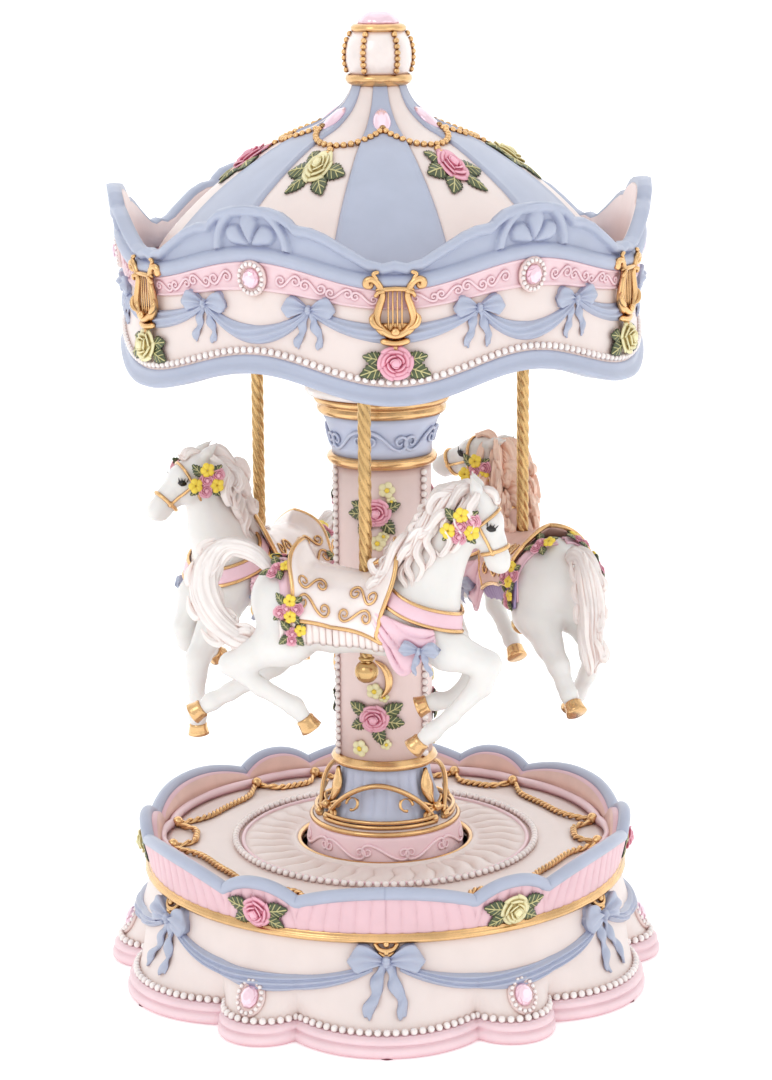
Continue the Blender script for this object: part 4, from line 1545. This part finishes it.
    def saddle(s, t, extra=0.0):
        s, t = np.broadcast_arrays(np.asarray(s, float), np.asarray(t, float))
        m = np.abs(t)
        scallop = np.sin(2 * np.pi * m) * 1.6 - 1.3 * np.exp(-((m - 0.93) / 0.09) ** 2)
        f = -18.0 - 4.0 * m + (26.5 + 1.5 * m) * s + scallop * (2 * s - 1)
        theta = t * (90 + 16 * s ** 1.5 + 9.0 * np.abs(2 * s - 1) ** 3)
        keep = setting["cantle"]
        rise = (keep * np.exp(-(s / 0.10) ** 2) * np.clip(1 - 1.25 * m, 0, 1) ** 1.1
                + 1.25 * keep * np.exp(-((1 - s) / 0.11) ** 2) * np.clip(1 - 1.5 * m, 0, 1) ** 1.3)
        return back(f, theta, 1.0 + rise + extra)

    s, t = np.meshgrid(np.linspace(0, 1, 34), np.linspace(-1, 1, 49))
    sheet = saddle(s.ravel(), t.ravel()).reshape(49, 34, 3)
    put(cloth, *thickSheet(sheet, 1.5))
    s, t = np.meshgrid(np.linspace(-0.02, 1.02, 120), np.linspace(0, 1, 7))
    for side in (-1, 1):
        pleat = 0.55 * np.abs(np.cos(s * math.pi * 15)) ** 0.8
        f = -22.5 + 28.0 * s
        theta = side * (86 + 12 * s + t * (34 + 3 * np.abs(np.cos(s * math.pi * 7.5))))
        sheet = back(f, theta, 0.45 + pleat.ravel()).reshape(7, 120, 3)
        put(fringe, *thickSheet(sheet, 0.7))
    edge = np.linspace(0, 1, 40)
    for side in (-1, 1):
        put(gold, *tube(saddle(edge, side * np.ones(40), 0.5), h["edgeBar"], 8))
        for s0 in (0.0, 1.0):
            put(gold, *tube(saddle(np.full(40, s0), side * edge, 0.3), h["edgeBar"], 8))
        for s0, t0, length, tall, flip in ((0.25, 0.78, 10, 4.4, 1), (0.72, 0.78, 10, 4.4, -1),
                                           (0.22, 0.50, 8, 4.0, -1), (0.75, 0.5, 8, 4.2, 1)):
            path = scrollPath(length, tall, flip)
            grow = 0.5 + 0.5 * np.sin(np.linspace(0, math.pi, len(path)))
            put(gold, *tube(saddle(s0 + path[:, 0] / 27.0, side * (t0 - path[:, 2] / 19.0), 1.0), 0.42 * grow, 6))

    # breast strap with gilt edges, and the swag below it
    def chest(phi, height, lift):
        phi = np.radians(np.asarray(phi, float).ravel())
        height = np.asarray(height, float).ravel()
        origin = np.stack([np.full(len(phi), 10.0), 0 * phi, height], -1)
        heading = np.stack([np.cos(phi), -np.sin(phi), 0 * phi], -1)
        return castOn(coreField, origin, heading) + heading * np.asarray(lift, float).reshape(-1, 1)

    strapRun = np.linspace(-h["strapReach"], h["strapReach"], 90)
    phi, v = np.meshgrid(strapRun, np.linspace(-1, 1, 7))
    middle = h["strapAt"] + 8.5 * (np.abs(phi) / 100) ** 1.3
    put(pink, *thickSheet(chest(phi, middle + 2.3 * v, 0.55 + 0.35 * (1 - v.ravel() ** 2)).reshape(7, 90, 3), 1.0))
    for edge in (-1, 1):
        put(gold, *tube(chest(strapRun, middle[0] + 2.5 * edge, 0.8), 0.6, 8))
    for side in (-1, 1):
        phi, v = np.meshgrid(np.linspace(50, 120, 60), np.linspace(0, 1, 25))
        middle = 14.2 + 6.0 * (np.abs(phi) / 100) ** 1.3
        fold = 0.6 + 0.95 * np.abs(np.sin(np.radians(phi) * 3.6 + v * 8.5))
        depth = h["drapeDepth"] * np.sin(np.radians((phi - 50) / 70 * 174 + 3)) ** 0.7 + 0.8
        height = middle - depth * v
        cover = chest(side * phi, np.maximum(height, 11.0), fold)
        cover[:, 2] = height.ravel()
        put(pink, *thickSheet(cover.reshape(25, 60, 3), 0.8))
        spot = chest([side * 62], [11.6], [2.2])
        normal = fieldNormal(coreField, spot)[0]
        for part, faces in bowParts(h["drapeBow"]):
            put(blue, setOn(spot[0], normal, part, lift=0.6), faces)

    # ribbon over the quarters, with flowers on it and at the brow
    def posy(spot, normal, count, reach, size):
        for n in range(count):
            a = 2 * math.pi * n / count + 0.6
            shift = np.array((math.cos(a), 0, 0.8 * math.sin(a))) * reach if n else np.zeros(3)
            for part, faces in (roseHead(size) if n % 2 == 0 else bloom(size * 0.95)):
                put(rosy if n % 2 == 0 else yellow, setOn(spot, normal, part + shift, lift=0.5), faces)
        for n in range(4):
            blades, veins = leafBlade(size * 2.3, size * 1.35)
            for bag, items in ((leaf, blades), (vein, veins)):
                for part, faces in items:
                    put(bag, setOn(spot, normal, part + np.array((reach * 0.4, 0, 0)), turn=40 + 90 * n, lift=0.1),
                        faces)

    for side in (-1, 1):
        theta = np.linspace(8, 118, 60)
        f = -25.5 + 4.5 * np.sin(np.radians(theta))
        th, v = np.meshgrid(theta, np.linspace(-1, 1, 7))
        sheet = back(np.broadcast_to(f, th.shape) + 1.9 * v, side * th, 0.5 + 0.4 * np.cos(v.ravel() * 4.0))
        put(pink, *thickSheet(sheet.reshape(7, 60, 3), 0.7))
        for f0, theta0, count, size in ((-24.5, 30, 3, 1.9), (-20.5, 84, 5, 1.9), (-19.5, 110, 3, 1.7)):
            spot = back([f0], [side * theta0], [0.8])
            posy(spot[0], fieldNormal(coreField, spot)[0], count, size * 1.5, size)
        origin = np.array([at(6.4, 1.2)]) + setting["posy"]
        sideways = np.array([np.array(at(0, 0, side)) - np.array(at(0, 0, 0))])
        cheek = castOn(headField, origin, sideways)
        posy(cheek[0] + sideways[0] * 2.2, sideways[0], 6, 3.9, 2.2)
        # eye, lid and lashes
        spot = castOn(headField, np.array([at(6.4, 1.2)]), sideways)[0]
        normal = fieldNormal(headField, np.array([spot]))[0]
        lean = np.array(at(1, 0)) - np.array(at(0, 0))
        rise = np.array(at(0, 1)) - np.array(at(0, 0))
        level = lean * 0.55 + rise * 0.83
        upward = rise * 0.55 - lean * 0.83
        if level[0] < 0:
            level, upward = -level, -upward
        almond = fineVerts * np.array((1.55, 0.55, 0.95)) * (1 - 0.25 * np.abs(fineVerts[:, :1]) * np.array((0, 0, 1)))
        put(eye, spot + almond[:, :1] * level + almond[:, 1:2] * normal + almond[:, 2:] * upward, fineFaces)
        for n in range(4):
            x = -1.3 + 0.85 * n
            hair = [spot + level * x + upward * 0.7 + normal * 0.4,
                    spot + level * (x * 1.25 + 0.1) + upward * 1.7 + normal * 0.7]
            put(eye, *tube(np.array([hair[0], (hair[0] + hair[1]) / 2, hair[1]]), [0.22, 0.18, 0.08], 6))

    # bridle
    def strap(points, inward, size=0.5, closed=False):
        spots = castOn(headField, inward, points - inward, reach=1.6)
        out = spots + (points - inward) / np.linalg.norm(points - inward, axis=1, keepdims=True) * 0.25
        put(gold, *tube(out, size, 8, closed=closed))

    for a, shift, size in ((13.4, -0.9, 0.62), (4.4, 0.2, 0.5)):
        ring = np.linspace(0, 2 * math.pi, 36, endpoint=False)
        centre = np.array([at(a, shift)] * 36)
        around = np.array([at(a + (0.12 * math.cos(t) if a > 10 else -2.6 * math.cos(t) - 0.6),
                              shift + 8 * math.cos(t), 8 * math.sin(t)) for t in ring])
        strap(around, centre, size, True)
    for side in (-1, 1):
        run = np.linspace(0, 1, 14)
        inside = np.array([at(1.8 + 11.6 * r, -1.4 + 0.5 * r) for r in run])
        outside = np.array([at(1.8 + 11.6 * r, -2.0 + 0.6 * r, 7.5 * side) for r in run])
        strap(outside, inside, 0.46)
        sideways = np.array([np.array(at(0, 0, side)) - np.array(at(0, 0, 0))])
        bit = castOn(headField, np.array([at(13.4, -1.0)]), sideways)
        put(gold, pearlVerts + bit[0], pearlFaces)

    for label, bag, finish in (
            ("hooves", gold, "gold"), ("manes", mane, setting["mane"]), ("tails", tail, "mane"),
            ("saddle", cloth, setting["cloth"]), ("fringe", fringe, setting["fringe"]), ("sashes", pink, "palePink"),
            ("bows", blue, "blue"), ("leaves", leaf, "leaf"), ("leafVeins", vein, "vein"),
            ("blossoms", yellow, "sunYellow"), ("roses", rosy, "rosePink"), ("eyes", eye, "black")):
        makePiece(f"{label}_{name}", bag, rider, finish)


poleValues = {"radius": 1.72, "strands": 5, "strandDepth": 0.55, "twist": 0.34, "ball": 3.5, "sides": 40}


def buildPoles():
    # a rope-twist pole with a ball at its foot
    v = poleValues
    sides = v["sides"]
    for name, setting in horseSets.items():
        low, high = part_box(f"pole_{name}")
        foot, top = low[2] / mm, high[2] / mm
        bag, rows = newBag(), []
        heights = np.arange(foot + 1.0, top - 0.2, 0.28)
        spread = np.arange(sides) * 2 * math.pi / sides
        for height in heights:
            swirl = spread + height * v["twist"]
            r = v["radius"] + v["strandDepth"] * (np.abs(np.cos(v["strands"] / 2 * swirl)) ** 0.6 - 0.62)
            rows.append(np.stack([r * np.cos(spread), r * np.sin(spread), np.full(sides, height)], -1))
        verts, last = np.concatenate(rows), (len(rows) - 1) * sides
        centre = polar(panelTurn + setting["turn"], poleCircle, 0.0)
        faces = gridFaces(len(rows), sides, False, True)
        addTo(bag, verts + centre, faces + [tuple(range(sides)), tuple(range(last, last + sides))[::-1]])
        ball = v["ball"] * np.array((1, 1, 0.98))
        addTo(bag, fineVerts * ball + centre + np.array((0, 0, foot + v["ball"])), fineFaces)
        addTo(bag, fineVerts * np.array((2.4, 2.4, 0.9)) + centre + np.array((0, 0, foot + 7.4)), fineFaces)
        makePiece(f"twistedPole_{name}", bag, f"rider_{name}", "brass", (f"pole_{name}",))


buildPoles()
for horseName, horseSetting in horseSets.items():
    buildHorse(horseName, horseSetting)
print("horses built")
